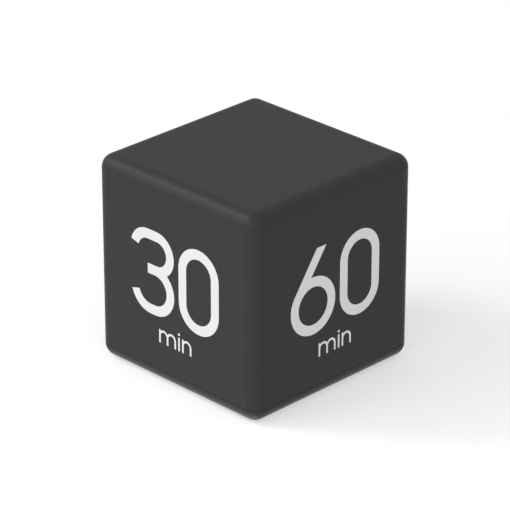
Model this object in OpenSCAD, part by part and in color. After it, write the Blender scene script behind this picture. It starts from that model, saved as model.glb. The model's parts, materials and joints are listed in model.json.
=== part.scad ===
// Cube countdown timer. Turning a numbered face up starts that many minutes.
// Millimetres, +Z up. The origin is the centre of the display face, on which the cube stands.

/* [Body] */
// Space left beside the battery holder, which sets how large the cube is
side_space = 1.15; // [0.9:0.05:4]
// Radius of every outside edge and corner
edge_radius = 4; // [3:0.5:5]
// Wall thickness of the main shell
wall = 2.2; // [1.9:0.1:2.4]
// Height of the display cover's rim, up to the parting line
cover_height = 4.2; // [4:0.1:7]
// Thickness of the display cover's floor
floor_thickness = 2; // [1.8:0.1:2.2]
// Shadow gap at the parting line
seam_gap = 0.1; // [0.05:0.05:0.3]
// Height of the cover's lip above the parting line
lip_height = 2.5; // [2:0.1:3]
// Thickness of the cover's lip
lip_thickness = 1.2; // [1:0.1:1.3]

/* [Numerals] */
// Height of the numerals
numeral_height = 25.6; // [22:0.2:28]
// Width of one numeral
numeral_width = 15.6; // [14:0.2:18]
// Width of the numerals' strokes
numeral_stroke = 3; // [2.6:0.1:4]
// Space between two numerals
numeral_space = 1.8; // [0.8:0.1:2.5]
// Distance from the top face down to the numerals
numeral_drop = 16; // [12:0.2:17]
// Depth of the paint in the moulded numerals
paint_depth = 0.3; // [0.2:0.05:0.5]
// Height of the small letters under the numerals
unit_height = 4.1; // [3.4:0.1:4.8]
// Width of the small letters' strokes
unit_stroke = 0.65; // [0.6:0.05:1]
// Distance from the numerals down to the foot of the small letters
unit_drop = 7.7; // [7:0.1:9]

/* [Batteries] */
// Diameter of one AAA cell
cell_diameter = 10.5; // [10:0.1:10.5]
// Length of one AAA cell over its contact nub
cell_length = 44.5; // [43.5:0.1:44.5]
// Space between the two cells
cell_space = 0.8; // [0.7:0.1:1]
// Length of a contact spring under its cell
spring_length = 4.8; // [4.4:0.1:5]
// Thickness of the contact plates
contact_thickness = 0.4; // [0.3:0.05:0.5]
// Wall thickness of the battery holder
holder_wall = 1.2; // [1:0.1:1.2]
// Thickness of the battery door
door_thickness = 1.8; // [1.5:0.05:1.8]
// Thickness of the foam pad in the door
foam_thickness = 0.6; // [0.4:0.1:1]
// Width of the door's ledge on the holder
door_ledge = 0.8; // [0.7:0.05:0.9]

/* [Display] */
// Width of the liquid crystal glass
glass_width = 31; // [28:0.5:31]
// Height of the liquid crystal glass
glass_height = 16; // [14:0.5:16]
// Thickness of one glass plate
glass_thickness = 1.1; // [0.7:0.1:1.2]
// Width of the clear view through the window
view_width = 27; // [24:0.5:27]
// Height of the clear view through the window
view_height = 12; // [10:0.5:12]
// Width of the window's glued border
window_border = 2; // [1.2:0.1:2]
// Thickness of the window
window_thickness = 0.85; // [0.7:0.05:0.9]

/* [Circuit] */
// Height of the circuit board's lower face above the standing face
board_level = 8.3; // [8.1:0.1:9]
// Thickness of the circuit board
board_thickness = 1.2; // [0.8:0.1:1.6]
// Length of the slide switch
switch_length = 11.6; // [11:0.1:12.4]
// Width of the slide switch
switch_width = 3.6; // [3.2:0.1:3.8]
// Height of the slide switch
switch_height = 3.6; // [3.2:0.1:3.7]
// Travel between two positions of the switch
switch_pitch = 2; // [1.5:0.1:2.2]
// Diameter of a tilt switch's ball
ball_diameter = 3.8; // [3:0.1:4.2]
// Travel of a tilt switch's ball
ball_travel = 1.4; // [1:0.1:1.8]
// Diameter of the buzzer's brass plate
buzzer_diameter = 27; // [20:1:30]
// Diameter of one sound hole
sound_hole = 1.1; // [0.8:0.1:1.4]
// Distance between two sound holes
sound_pitch = 2.1; // [1.8:0.1:2.4]
// Sound holes on each side of the switch
sound_count = 3; // [2:1:4]

/* [Screws] */
// Diameter of the screws' shanks
screw_diameter = 1.9; // [1.7:0.05:2]
// Diameter of the screws' heads
head_diameter = 3.7; // [3.4:0.1:3.8]
// Height of the screws' heads
head_height = 1.4; // [1.1:0.1:1.6]
// Length of the case screws' shanks
case_screw_length = 10; // [8:0.5:12]

/* [Hidden] */
$fn = 48;

// Clearances
lid_gap = 0.1;        // lip to shell wall
slip_gap = 0.05;      // piece seated in another
part_gap = 0.2;       // neighbours that don't touch
door_gap = 0.15;      // door to its opening
thread_gap = 0.03;    // screw to its pilot hole
press_gap = 0.02;     // pieces pressed together
eps = 0.01;           // overlap of two shapes of one piece
past = 1;             // overrun of a cut past a face

// Battery bay, one cell behind the other
cell_radius = cell_diameter / 2;
cell_side = 0.4;
cell_pitch = cell_diameter + cell_space;
bay_length = cell_length + spring_length + 2 * contact_thickness + part_gap;
bay_width = 2 * cell_diameter + cell_space + 2 * cell_side;

// Circuit board, with the switch and the display on its lower face
board_gap = 0.7;
board_margin = 0.1;
frame_wall = 1.1;
frame_gap = 0.4;
frame_width = glass_width + 2 * (part_gap / 2 + frame_wall);
frame_height = glass_height + 2 * (part_gap / 2 + frame_wall);
pillar_radius = 2;
pillar_x = frame_width / 2 + part_gap + pillar_radius;
board_half = pillar_x + pillar_radius;
board_depth = part_gap + switch_width + frame_gap + frame_height + board_margin;
head_gap = 0.35;
boss_wall = 0.7;
head_recess_radius = head_diameter / 2 + head_gap;
boss_radius = head_recess_radius + boss_wall;

// Housing: its inside is as wide as the bay, the board and the two in a row need
for_bay = bay_length / 2 + holder_wall + side_space;
for_board = board_half + part_gap + 2 * boss_radius;
for_both = (2 * boss_radius + bay_width + 2 * holder_wall + board_gap + board_depth) / 2 + part_gap;
lip_in = max(for_bay, for_board, for_both);
lip_out = lip_in + lip_thickness;
cavity_half = lip_out + lid_gap;
half = cavity_half + wall;
cube_size = 2 * half;
lip_top = cover_height + lip_height;
shell_bottom = cover_height + seam_gap;
shell_ceiling = cube_size - wall;
cavity_radius = max(edge_radius - wall, 0.6) + 0.4;
lip_radius = cavity_radius - lid_gap;

// Case screws, each in a counterbored boss of the cover and a post of the shell
post_radius = boss_radius - part_gap;
post_at = lip_in - boss_radius;
boss_top = 5;
post_cap = 5;
post_top = boss_top + case_screw_length + post_cap;
pilot_spare = 1;
seat_floor = 1.2;
head_seat = floor_thickness + seat_floor;
pilot_diameter = screw_diameter + 2 * thread_gap;
clear_diameter = screw_diameter + 0.3;
board_screw_length = 4;
lug_screw_length = 3;
tip_room = 0.3;
corners = [for (x = [-1, 1], y = [-1, 1]) [x, y]];

// Where the battery bay lies
cell_top_gap = 0.3;
bay_y = -(post_at - boss_radius - part_gap) + holder_wall + bay_width / 2;
cell_level = door_thickness + foam_thickness + slip_gap + cell_radius;
holder_ceiling = cell_level + cell_radius + cell_top_gap;
holder_top = holder_ceiling + holder_wall;
holder_edge = bay_y + bay_width / 2 + holder_wall;
opening_length = bay_length + 2 * door_ledge;
opening_width = bay_width + 2 * door_ledge;
lug_x = 12;
lug_size = 4.8;
lug_y = bay_y - bay_width / 2 - holder_wall - lug_size / 2;
lug_level = floor_thickness + 2;
locator = [2, 0.6, 1.6];

// Battery door: it swings about the lower edge of its opening next to the switch
tab_x = 12.5;
tab_width = 4;
tab_reach = 1.4;
tab_thickness = 0.9;
tab_level = floor_thickness + 0.1;
latch_width = 7;
latch_notch = 3.6;
latch_y = bay_y - opening_width / 2;
latch_leg = 0.8;
latch_bend = 1.5;
latch_pad = 0.9;
latch_centre = floor_thickness + 0.6;
grip_pitch = 1.3;
grip_count = 5;
grip_width = 12;
grip_depth = 0.3;
foam_margin = 6;

// Contacts
nub_bump = 0.15;
nub_bump_radius = 2.2;
cell_shift = (bay_length - cell_length) / 2 - contact_thickness - nub_bump - press_gap;
plate_height = 8;
tag_width = 2.4;
tag_rise = 1.6;

// Where the circuit board and what it carries lie
board_top = board_level + board_thickness;
board_y0 = holder_edge + board_gap;
board_y1 = board_y0 + board_depth;
switch_y = board_y0 + part_gap + switch_width / 2;
lcd_y = switch_y + switch_width / 2 + frame_gap + frame_height / 2;
function on_board(x, y) = [x * board_half, board_y0 + y * board_depth, board_top];
pillar_ys = [switch_y, board_y1 - pillar_radius - part_gap];

// Display stack, from the window inwards
window_recess = 1;
window_gap = 0.1;
window_width = view_width + 2 * window_border;
window_height = view_height + 2 * window_border;
glass_level = floor_thickness + part_gap;
rear_glass_level = glass_level + glass_thickness;
reflector_level = rear_glass_level + glass_thickness;
reflector_thickness = 0.2;
reflector_margin = 0.2;
contact_ledge = 2.2;
strip_width = contact_ledge - 2 * part_gap;
strip_length = glass_width - 3;

// Slide switch and its knob
switch_travel = 2 * switch_pitch;
slot_gap = 0.15;
thumb_room = 2;
knob_recess = 1;
knob_width = 3.6;
knob_length = 4.4;
knob_stem = 2.2;
slider_size = 2;
switch_face = board_level - switch_height;
frame_sheet = 0.3;
base_thickness = 0.8;
knob_flange = 0.7;
flange_level = floor_thickness + slip_gap;
socket_top = switch_face - part_gap;
base_level = board_level - base_thickness;
terminal_sheet = 0.25;
terminal_level = base_level - terminal_sheet;
wiper_room = 0.9;
slider_top = terminal_level - wiper_room;
terminal_pad = 0.9;
terminal_leg = 0.5;
leg_stub = 0.6;
off_shift = -switch_pitch;
inner_length = switch_length - 2 * frame_sheet;
inner_width = switch_width - 2 * frame_sheet;
terminals = [for (i = [-1.5:1:1.5]) [i * switch_pitch, switch_y, 0]];

// Tilt switches: a ball in a can that closes on a centre pin
ball_radius = ball_diameter / 2;
can_sheet = 0.3;
can_inner = ball_radius + slip_gap;
can_radius = can_inner + can_sheet;
header_length = 1.2;
pin_radius = 0.3;
pin_reach = 0.5;
can_length = can_sheet + ball_diameter + ball_travel + pin_reach + header_length;
tilt_rise = can_radius + part_gap;
tilt_a_at = on_board(-0.62, 0.26) + [0, 0, tilt_rise];
tilt_b_at = on_board(-0.58, 0.76) + [0, 0, tilt_rise];
tilt_c_at = on_board(0.14, 0.78);

// Buzzer on the shell's ceiling
buzzer_radius = buzzer_diameter / 2;
buzzer_ring = 1.2;
buzzer_cavity = 1.5;
buzzer_sheet = 0.3;
buzzer_level = shell_ceiling - buzzer_cavity - buzzer_sheet;
ceramic_thickness = 0.25;
ceramic_radius = buzzer_radius * 0.74;

// Leads
lead_radius = 0.55;
lead_sides = 8;

// ---------- shapes that repeat ----------

// A box with rounded edges and corners, standing on z = 0
module rounded_block(size, radius) {
    inner = size / 2 - radius;
    translate([0, 0, size / 2]) {
        cube([2 * inner, 2 * inner, size], center = true);
        cube([2 * inner, size, 2 * inner], center = true);
        cube([size, 2 * inner, 2 * inner], center = true);
        for (turn = [[0, 0, 0], [90, 0, 0], [0, 90, 0]])
            rotate(turn)
                for (c = corners)
                    translate([c[0] * inner, c[1] * inner, 0])
                        cylinder(r = radius, h = 2 * inner, center = true);
        for (c = corners, z = [-1, 1])
            translate([c[0] * inner, c[1] * inner, z * inner]) sphere(r = radius);
    }
}

// A box from z0 to z1, centred on x and y
module slab(length, width, z0, z1) {
    translate([-length / 2, -width / 2, z0]) cube([length, width, z1 - z0]);
}

// A square prism with round upright edges, from z0 to z1
module round_prism(side, radius, z0, z1) {
    inner = side / 2 - radius;
    translate([0, 0, z0]) linear_extrude(z1 - z0) {
        square([side, 2 * inner], center = true);
        square([2 * inner, side], center = true);
        for (c = corners) translate([c[0] * inner, c[1] * inner]) circle(r = radius);
    }
}

// A pan-head screw whose head sits below z = 0 and whose shank points up
module screw(shank_length) {
    cross_length = head_diameter * 0.6;
    cross_width = head_diameter * 0.16;
    difference() {
        union() {
            translate([0, 0, -head_height]) cylinder(d = head_diameter, h = head_height);
            translate([0, 0, -eps]) cylinder(d = screw_diameter, h = shank_length - screw_diameter / 2 + eps);
            translate([0, 0, shank_length - screw_diameter / 2])
                cylinder(d1 = screw_diameter, d2 = screw_diameter / 3, h = screw_diameter / 2);
        }
        for (a = [0, 90])
            rotate([0, 0, a]) slab(cross_length, cross_width, -head_height - eps, -head_height * 0.45);
    }
}

// A tube swept along a list of points
function unit(v) = v / norm(v);
function along(p, i) = unit(p[min(i + 1, len(p) - 1)] - p[max(i - 1, 0)]);
function across(p, i) =
    let (t = along(p, i), n = i == 0 ? (abs(t[2]) < 0.9 ? [0, 0, 1] : [1, 0, 0]) : across(p, i - 1))
    unit(n - (n * t) * t);
function blend(a, b, c, d, u) =
    0.5 * ((2 * b) + (c - a) * u + (2 * a - 5 * b + 4 * c - d) * u * u + (3 * b - a - 3 * c + d) * u * u * u);
function smooth(p, steps) =
    let (last = len(p) - 1)
    [for (i = [0:last - 1], s = [0:steps - 1])
        blend(p[max(i - 1, 0)], p[i], p[i + 1], p[min(i + 2, last)], s / steps), p[last]];

module tube(p, radius, sides) {
    rings = len(p);
    points = [for (i = [0:rings - 1])
        let (t = along(p, i), n = across(p, i), b = cross(t, n))
        for (k = [0:sides - 1]) p[i] + radius * (cos(360 * k / sides) * n + sin(360 * k / sides) * b)];
    walls = [for (i = [0:rings - 2], k = [0:sides - 1])
        let (a = i * sides + k, b = i * sides + (k + 1) % sides)
        each [[a, a + sides, b], [b, a + sides, b + sides]]];
    start = [for (k = [0:sides - 1]) k];
    end = [for (k = [sides - 1:-1:0]) (rings - 1) * sides + k];
    polyhedron(points, concat(walls, [start], [end]));
}

// A conical contact spring along +X, its wide end at x = 0
module contact_spring(length) {
    wire = 0.3;
    wide = 3.4;
    narrow = 2.2;
    turns = 4;
    steps = 14;
    count = turns * steps;
    path = [for (i = [0:count])
        let (r = wide + (narrow - wide) * i / count, a = 360 * i / steps)
        [wire + (length - 2 * wire) * i / count, r * cos(a), r * sin(a)]];
    tube(path, wire, 6);
}

// ---------- numerals, drawn from their lower left corner ----------

// The part of a ring of the stroke's width from one angle to another
module arc(radius, from, to, stroke = numeral_stroke) {
    reach = 3 * radius;
    turns = [for (i = [0:4]) from + (to - from) * i / 4];
    intersection() {
        ring(radius, stroke);
        polygon([[0, 0], for (a = turns) reach * [cos(a), sin(a)]]);
    }
}

module ring(radius, stroke = numeral_stroke) {
    difference() {
        circle(r = radius + stroke / 2);
        circle(r = radius - stroke / 2);
    }
}

// A straight stroke between two points
module bar(a, b, stroke = numeral_stroke) {
    d = b - a;
    translate(a) rotate(atan2(d[1], d[0])) translate([0, -stroke / 2]) square([norm(d), stroke]);
}

// How wide each numeral is, as a share of the named width
function width_of(digit) = numeral_width * (digit == 1 ? 0.56 : digit == 6 ? 1.11 : digit == 3 ? 1.09 : 1);

module numeral_0() {
    radius = (numeral_width - numeral_stroke) / 2;
    low = numeral_stroke / 2 + radius;
    high = numeral_height - low;
    translate([numeral_width / 2, high]) arc(radius, 0, 180);
    translate([numeral_width / 2, low]) arc(radius, 180, 360);
    for (x = [numeral_stroke / 2, numeral_width - numeral_stroke / 2]) bar([x, low], [x, high]);
}

module numeral_1() {
    width = width_of(1);
    stem = width - numeral_stroke / 2;
    bar([stem, 0], [stem, numeral_height]);
    intersection() {
        bar([-numeral_stroke, numeral_height * 0.68], [stem, numeral_height * 0.95], numeral_stroke * 0.95);
        square([stem, numeral_height]);
    }
}

module numeral_2() {
    radius = (numeral_width - numeral_stroke) / 2;
    centre = [numeral_width / 2, numeral_height - numeral_stroke / 2 - radius];
    foot = [numeral_stroke * 0.62, numeral_stroke * 0.8];
    gap = foot - centre;
    leave = atan2(gap[1], gap[0]) + acos(radius / norm(gap));
    translate(centre) arc(radius, leave, 60);
    translate(centre) arc(radius, 55, 168);
    intersection() {
        bar(centre + radius * [cos(leave), sin(leave)], foot + unit(gap));
        square([numeral_width, numeral_height]);
    }
    bar([0, numeral_stroke / 2], [numeral_width, numeral_stroke / 2]);
}

module numeral_3() {
    width = width_of(3);
    both = (numeral_height - numeral_stroke) / 2;
    upper = both * 0.46;
    lower = both - upper;
    waist = numeral_stroke / 2 + 2 * lower;
    for (bowl = [[upper, waist + upper, 90, 165], [lower, numeral_stroke / 2 + lower, 196, 270]]) {
        right = width - numeral_stroke / 2 - bowl[0];
        left = numeral_stroke / 2 + bowl[0];
        flat = bowl[1] + (bowl[2] == 90 ? bowl[0] : -bowl[0]);
        translate([right, bowl[1]]) arc(bowl[0], -90, 90);
        translate([left, bowl[1]]) arc(bowl[0], bowl[2], bowl[3]);
        if (right > left) bar([left, flat], [right, flat]);
        bar([width * 0.39, waist], [right, waist]);
    }
}

module numeral_5() {
    radius = (numeral_width - numeral_stroke) / 2;
    stem = numeral_stroke * 0.72;
    top = numeral_height - numeral_stroke / 2;
    join = 142;
    centre = [numeral_width / 2, numeral_stroke / 2 + radius];
    bar([stem - numeral_stroke / 2, top], [numeral_width - numeral_stroke * 0.25, top]);
    bar([stem, centre[1] + radius * sin(join) - numeral_stroke * 0.42], [stem, top]);
    translate(centre) arc(radius, 0, join);
    translate(centre) arc(radius, 196, 360);
}

module numeral_6() {
    radius = (width_of(6) - numeral_stroke) / 2;
    lean = 35;
    centre = [width_of(6) / 2, numeral_stroke / 2 + radius];
    leave = centre + radius * [-cos(lean), sin(lean)];
    climb = (numeral_height + numeral_stroke - leave[1]) / cos(lean);
    translate(centre) ring(radius);
    intersection() {
        bar(leave, leave + climb * [sin(lean), cos(lean)]);
        square([2 * numeral_width, numeral_height]);
    }
}

module numeral(digit) {
    if (digit == 0) numeral_0();
    if (digit == 1) numeral_1();
    if (digit == 2) numeral_2();
    if (digit == 3) numeral_3();
    if (digit == 5) numeral_5();
    if (digit == 6) numeral_6();
}

// The arches of an m or an n, from its left foot
arch_radius = unit_height * 0.37;
module arches(count) {
    for (i = [0:count]) {
        x = unit_stroke / 2 + 2 * arch_radius * i;
        shoulder = unit_height - unit_stroke / 2 - arch_radius;
        bar([x, 0], [x, i == 0 ? unit_height : shoulder], unit_stroke);
        if (i > 0) translate([x - arch_radius, shoulder]) arc(arch_radius, 0, 180, unit_stroke);
    }
}

// The small unit name under the numerals, centred on x = 0
module unit_name() {
    m_width = 4 * arch_radius + unit_stroke;
    n_width = 2 * arch_radius + unit_stroke;
    space = unit_stroke * 1.35;
    total = m_width + unit_stroke + n_width + 2 * space;
    translate([-total / 2, 0]) {
        arches(2);
        translate([m_width + space, 0]) {
            bar([unit_stroke / 2, 0], [unit_stroke / 2, unit_height], unit_stroke);
            translate([unit_stroke / 2, unit_height * 1.24]) circle(d = unit_stroke * 1.25);
        }
        translate([m_width + unit_stroke + 2 * space, 0]) arches(1);
    }
}

// Both numerals of a face and its unit name, as flat shapes
module face_print(tens) {
    ones = tens == 1 ? 5 : 0;
    total = width_of(tens) + numeral_space + width_of(ones);
    low = cube_size - numeral_drop - numeral_height;
    translate([-total / 2, low]) numeral(tens);
    translate([total / 2 - width_of(ones), low]) numeral(ones);
    translate([0, low - unit_drop]) unit_name();
}

// The paint of one face, as a solid just under that face; quarter counts turns about Z from -Y
module face_paint(tens, quarter, proud = 0) {
    rotate([0, 0, 90 * quarter]) translate([0, -half + paint_depth, 0])
        rotate([90, 0, 0]) linear_extrude(paint_depth + proud) face_print(tens);
}
faces = [[3, 0], [6, 1], [1, 2], [2, 3]];
ink = [0.9, 0.9, 0.88];
black_plastic = [0.17, 0.17, 0.175];

// ---------- housing ----------

module main_shell() {
    color(black_plastic) difference() {
        union() {
            difference() {
                intersection() {
                    rounded_block(cube_size, edge_radius);
                    slab(cube_size + 2 * past, cube_size + 2 * past, shell_bottom, cube_size + past);
                }
                round_prism(2 * cavity_half, cavity_radius, shell_bottom - past, shell_ceiling);
            }
            for (c = corners) shell_post(c);
            buzzer_seat();
        }
        for (c = corners)
            translate([c[0] * post_at, c[1] * post_at, boss_top - past])
                cylinder(d = pilot_diameter, h = case_screw_length + past + pilot_spare);
        for (f = faces) face_paint(f[0], f[1], past);
    }
}

// A screw post, tied to both walls of its corner above the cover's lip
module shell_post(c) {
    web = 1.2;
    into_wall = 0.3;
    web_low = lip_top + part_gap;
    reach = cavity_half - post_at + into_wall;
    translate([c[0] * post_at, c[1] * post_at, 0]) {
        translate([0, 0, boss_top]) cylinder(r = post_radius, h = post_top - boss_top);
        translate([c[0] > 0 ? 0 : -reach, -web / 2, web_low]) cube([reach, web, post_top - web_low]);
        translate([-web / 2, c[1] > 0 ? 0 : -reach, web_low]) cube([web, reach, post_top - web_low]);
    }
}

// A stepped ring and four ribs that hold the buzzer under the ceiling
module buzzer_seat() {
    seat = buzzer_radius + slip_gap;
    skirt = 1;
    depth = buzzer_cavity + buzzer_sheet + skirt;
    step = 1.2;
    rib = 1;
    rib_height = 2;
    sunk = 0.5;
    difference() {
        translate([0, 0, shell_ceiling - depth]) cylinder(r = seat + buzzer_ring, h = depth + sunk);
        translate([0, 0, shell_ceiling - depth - past]) cylinder(r = seat, h = depth + past - buzzer_cavity);
        translate([0, 0, shell_ceiling - depth - past]) cylinder(r = seat - step, h = depth + past);
    }
    for (a = [0:90:270])
        rotate([0, 0, a]) translate([seat + buzzer_ring / 2, -rib / 2, shell_ceiling - rib_height])
            cube([cavity_half - seat - buzzer_ring / 2 + sunk, rib, rib_height + sunk]);
}

module display_cover() {
    color(black_plastic) difference() {
        union() {
            difference() {
                union() {
                    intersection() {
                        rounded_block(cube_size, edge_radius);
                        slab(cube_size + 2 * past, cube_size + 2 * past, -past, cover_height);
                    }
                    round_prism(2 * lip_out, lip_radius, floor_thickness, lip_top);
                }
                slab(2 * lip_in, 2 * lip_in, floor_thickness, lip_top + past);
            }
            for (c = corners)
                translate([c[0] * post_at, c[1] * post_at, floor_thickness - eps])
                    cylinder(r = boss_radius, h = boss_top - floor_thickness + eps);
            for (x = [-1, 1], y = pillar_ys)
                translate([x * pillar_x, y, floor_thickness - eps])
                    cylinder(r = pillar_radius, h = board_level - floor_thickness + eps);
            for (x = [-1, 1])
                translate([x * lug_x, lug_y, 0])
                    slab(lug_size - 1, lug_size - 1, floor_thickness - eps, lug_level);
            for (x = [-1, 1])
                translate([x * (tab_x - tab_width / 2 - locator[0] - part_gap),
                    holder_edge + slip_gap + locator[1] / 2, 0])
                    slab(locator[0], locator[1], floor_thickness - eps, floor_thickness + locator[2]);
        }
        case_screw_holes();
        pilot_holes();
        window_opening();
        switch_opening();
        battery_opening();
        sound_holes();
    }
}

module case_screw_holes() {
    for (c = corners)
        translate([c[0] * post_at, c[1] * post_at, 0]) {
            translate([0, 0, -past]) cylinder(r = head_recess_radius, h = head_seat + past);
            cylinder(d = clear_diameter, h = boss_top + past);
        }
}

module pilot_holes() {
    for (x = [-1, 1], y = pillar_ys)
        translate([x * pillar_x, y, board_level - board_screw_length - tip_room])
            cylinder(d = pilot_diameter, h = board_screw_length + tip_room + past);
    for (x = [-1, 1])
        translate([x * lug_x, lug_y, lug_level - lug_screw_length - tip_room])
            cylinder(d = pilot_diameter, h = lug_screw_length + tip_room + past);
}

module window_opening() {
    translate([0, lcd_y, 0]) {
        slab(window_width + 2 * window_gap, window_height + 2 * window_gap, -past, window_recess);
        slab(view_width, view_height, -past, floor_thickness + past);
    }
}

// A thumb recess with a slot in its floor, as long as the knob's travel needs
module switch_opening() {
    translate([0, switch_y, 0]) {
        slab(knob_length + switch_travel + 2 * thumb_room, knob_width + 4 * slot_gap, -past, knob_recess);
        slab(knob_stem + switch_travel + 2 * slot_gap, knob_stem + 2 * slot_gap, -past,
            floor_thickness + past);
    }
}

module battery_opening() {
    translate([0, bay_y, 0]) slab(opening_length, opening_width, -past, floor_thickness + past);
    translate([0, latch_y + (past - latch_notch) / 2, 0])
        slab(latch_width + 2 * door_gap, latch_notch + past, -past, floor_thickness + past);
}

module sound_holes() {
    first = (knob_length + switch_travel) / 2 + 2 * thumb_room + sound_pitch;
    for (i = [0:sound_count - 1], side = [-1, 1])
        translate([side * (first + i * sound_pitch), switch_y, -past])
            cylinder(d = sound_hole, h = floor_thickness + 2 * past);
}

module case_screws() {
    color("silver")
        for (c = corners) translate([c[0] * post_at, c[1] * post_at, head_seat]) screw(case_screw_length);
}

// ---------- display ----------

module display_window() {
    color([0.6, 0.65, 0.68, 0.5]) translate([0, lcd_y, 0])
        slab(window_width, window_height, window_recess - window_thickness, window_recess);
}

module lcd_front_glass() {
    color([0.62, 0.68, 0.6, 0.6]) translate([0, lcd_y, 0])
        slab(glass_width, glass_height, glass_level, rear_glass_level);
}

module lcd_rear_glass() {
    color([0.62, 0.68, 0.6, 0.6]) translate([0, lcd_y - contact_ledge / 2, 0])
        slab(glass_width, glass_height - contact_ledge, rear_glass_level, reflector_level);
}

module lcd_reflector() {
    color([0.72, 0.75, 0.7]) translate([0, lcd_y - contact_ledge / 2, 0])
        slab(glass_width - 2 * reflector_margin, glass_height - contact_ledge - 2 * reflector_margin,
             reflector_level, reflector_level + reflector_thickness);
}

// The strip that carries the glass's contacts to the board
module contact_strip() {
    color([0.85, 0.55, 0.6]) translate([0, lcd_y + glass_height / 2 - contact_ledge / 2, 0])
        slab(strip_length, strip_width, rear_glass_level, board_level);
}

module lcd_frame() {
    shelf = reflector_level + reflector_thickness + slip_gap;
    bar_width = 2;
    color("white") translate([0, lcd_y, 0]) difference() {
        slab(frame_width, frame_height, floor_thickness + slip_gap, board_level);
        slab(glass_width + part_gap, glass_height + part_gap, floor_thickness - past, shelf);
        translate([0, -contact_ledge / 2, 0])
            slab(glass_width - 3 * bar_width, glass_height - contact_ledge - 2 * bar_width, shelf - past,
                board_level + past);
        translate([0, glass_height / 2 - contact_ledge / 2, 0])
            slab(strip_length + 2 * slip_gap, strip_width + 2 * slip_gap, shelf - past, board_level + past);
    }
}

// ---------- circuit ----------

module circuit_board() {
    color([0.05, 0.32, 0.16]) difference() {
        translate([-board_half, board_y0, board_level]) cube([2 * board_half, board_depth, board_thickness]);
        for (x = [-1, 1], y = pillar_ys)
            translate([x * pillar_x, y, board_level - past])
                cylinder(d = clear_diameter, h = board_thickness + 2 * past);
        terminal_holes();
    }
}

module board_screws() {
    color("silver")
        for (x = [-1, 1], y = pillar_ys)
            translate([x * pillar_x, y, board_top]) rotate([180, 0, 0])
                screw(board_screw_length + board_thickness);
}

// The controller under its drop of epoxy
module controller_chip() {
    drop_radius = 4.2;
    rise = 1.5;
    curve = (drop_radius * drop_radius + rise * rise) / (2 * rise);
    color([0.06, 0.06, 0.06]) translate(on_board(0.48, 0.32)) intersection() {
        translate([0, 0, rise - curve]) sphere(r = curve);
        cylinder(r = drop_radius + past, h = rise + past);
    }
}

module crystal() {
    radius = 1;
    length = 6;
    leg = 2;
    leg_radius = 0.15;
    leg_space = 0.8;
    color("silver") translate(on_board(-0.1, 0.585) + [0, 0, radius]) rotate([0, 90, 0]) {
        cylinder(r = radius, h = length);
        for (y = [-leg_space / 2, leg_space / 2])
            translate([0, y, -leg]) cylinder(r = leg_radius, h = leg + eps);
    }
}

module capacitor() {
    radius = 2.5;
    height = 7;
    rim = 0.4;
    top = 0.3;
    color([0.1, 0.12, 0.3]) translate(on_board(-0.2, 0.385)) {
        cylinder(r = radius, h = height);
        translate([0, 0, height - eps]) cylinder(r = radius - rim, h = top);
    }
}

// The drum core that raises the buzzer's voltage
module inductor() {
    radius = 3;
    flange = 1;
    winding = 3;
    inset = 0.5;
    translate(on_board(0.57, 0.76)) {
        color([0.12, 0.12, 0.12])
            for (z = [0, flange + winding]) translate([0, 0, z]) cylinder(r = radius, h = flange);
        color([0.7, 0.35, 0.15]) translate([0, 0, flange - eps])
            cylinder(r = radius - inset, h = winding + 2 * eps);
    }
}

module surface_parts() {
    chip = [1.6, 0.8, 0.55];
    places = [[-0.17, 0.21], [-0.02, 0.21], [0.12, 0.21], [0.02, 0.35], [0.77, 0.45],
              [0.77, 0.56], [0.34, 0.63], [-0.22, 0.9], [-0.26, 0.74]];
    for (i = [0:len(places) - 1])
        color(i % 2 == 0 ? [0.08, 0.08, 0.08] : [0.7, 0.55, 0.4])
            translate(on_board(places[i][0], places[i][1])) slab(chip[0], chip[1], 0, chip[2]);
}

// ---------- slide switch ----------

module switch_frame() {
    notch = 1.2;
    color("silver") translate([0, switch_y, 0]) difference() {
        slab(switch_length, switch_width, switch_face, board_level);
        slab(inner_length, inner_width, switch_face + frame_sheet, board_level + past);
        slab(slider_size + switch_travel + 2 * part_gap, slider_size + 2 * slot_gap, switch_face - past,
            switch_face + past);
        for (x = [-1, 1]) translate([x * switch_length / 2, 0, 0])
            slab(notch, notch, base_level - notch, board_level + past);
    }
}

module switch_base() {
    color([0.35, 0.2, 0.1]) difference() {
        translate([0, switch_y, 0])
            slab(inner_length - 2 * slip_gap, inner_width - 2 * slip_gap, base_level, board_level);
        terminal_holes();
    }
}

module switch_terminals() {
    color("gold")
        for (t = terminals)
            translate(t) {
                slab(terminal_pad, terminal_pad, terminal_level, base_level);
                slab(terminal_leg, terminal_leg, base_level - eps, board_top + leg_stub);
            }
}

module terminal_holes() {
    hole = terminal_leg + 2 * slip_gap;
    for (t = terminals) translate(t) slab(hole, hole, base_level - past, board_top + past);
}

// Everything that slides is drawn in the off position, one pitch left of the middle
module switch_slider() {
    color([0.12, 0.12, 0.12]) translate([off_shift, switch_y, 0]) {
        slab(inner_length - switch_travel - 4 * slot_gap, inner_width - 2 * slot_gap,
             switch_face + frame_sheet + slip_gap, slider_top);
        slab(slider_size, slider_size, flange_level + knob_flange + slip_gap,
            switch_face + frame_sheet + 2 * slip_gap);
    }
}

// A bridge on the slider that joins two neighbouring terminals
module switch_wiper() {
    width = 1;
    sheet = 0.4;
    top = terminal_level - slip_gap;
    color("gold") translate([off_shift, switch_y, 0]) {
        slab(width, width, slider_top, top - sheet + eps);
        slab(switch_travel - 4 * slot_gap, width, top - sheet, top);
    }
}

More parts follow.
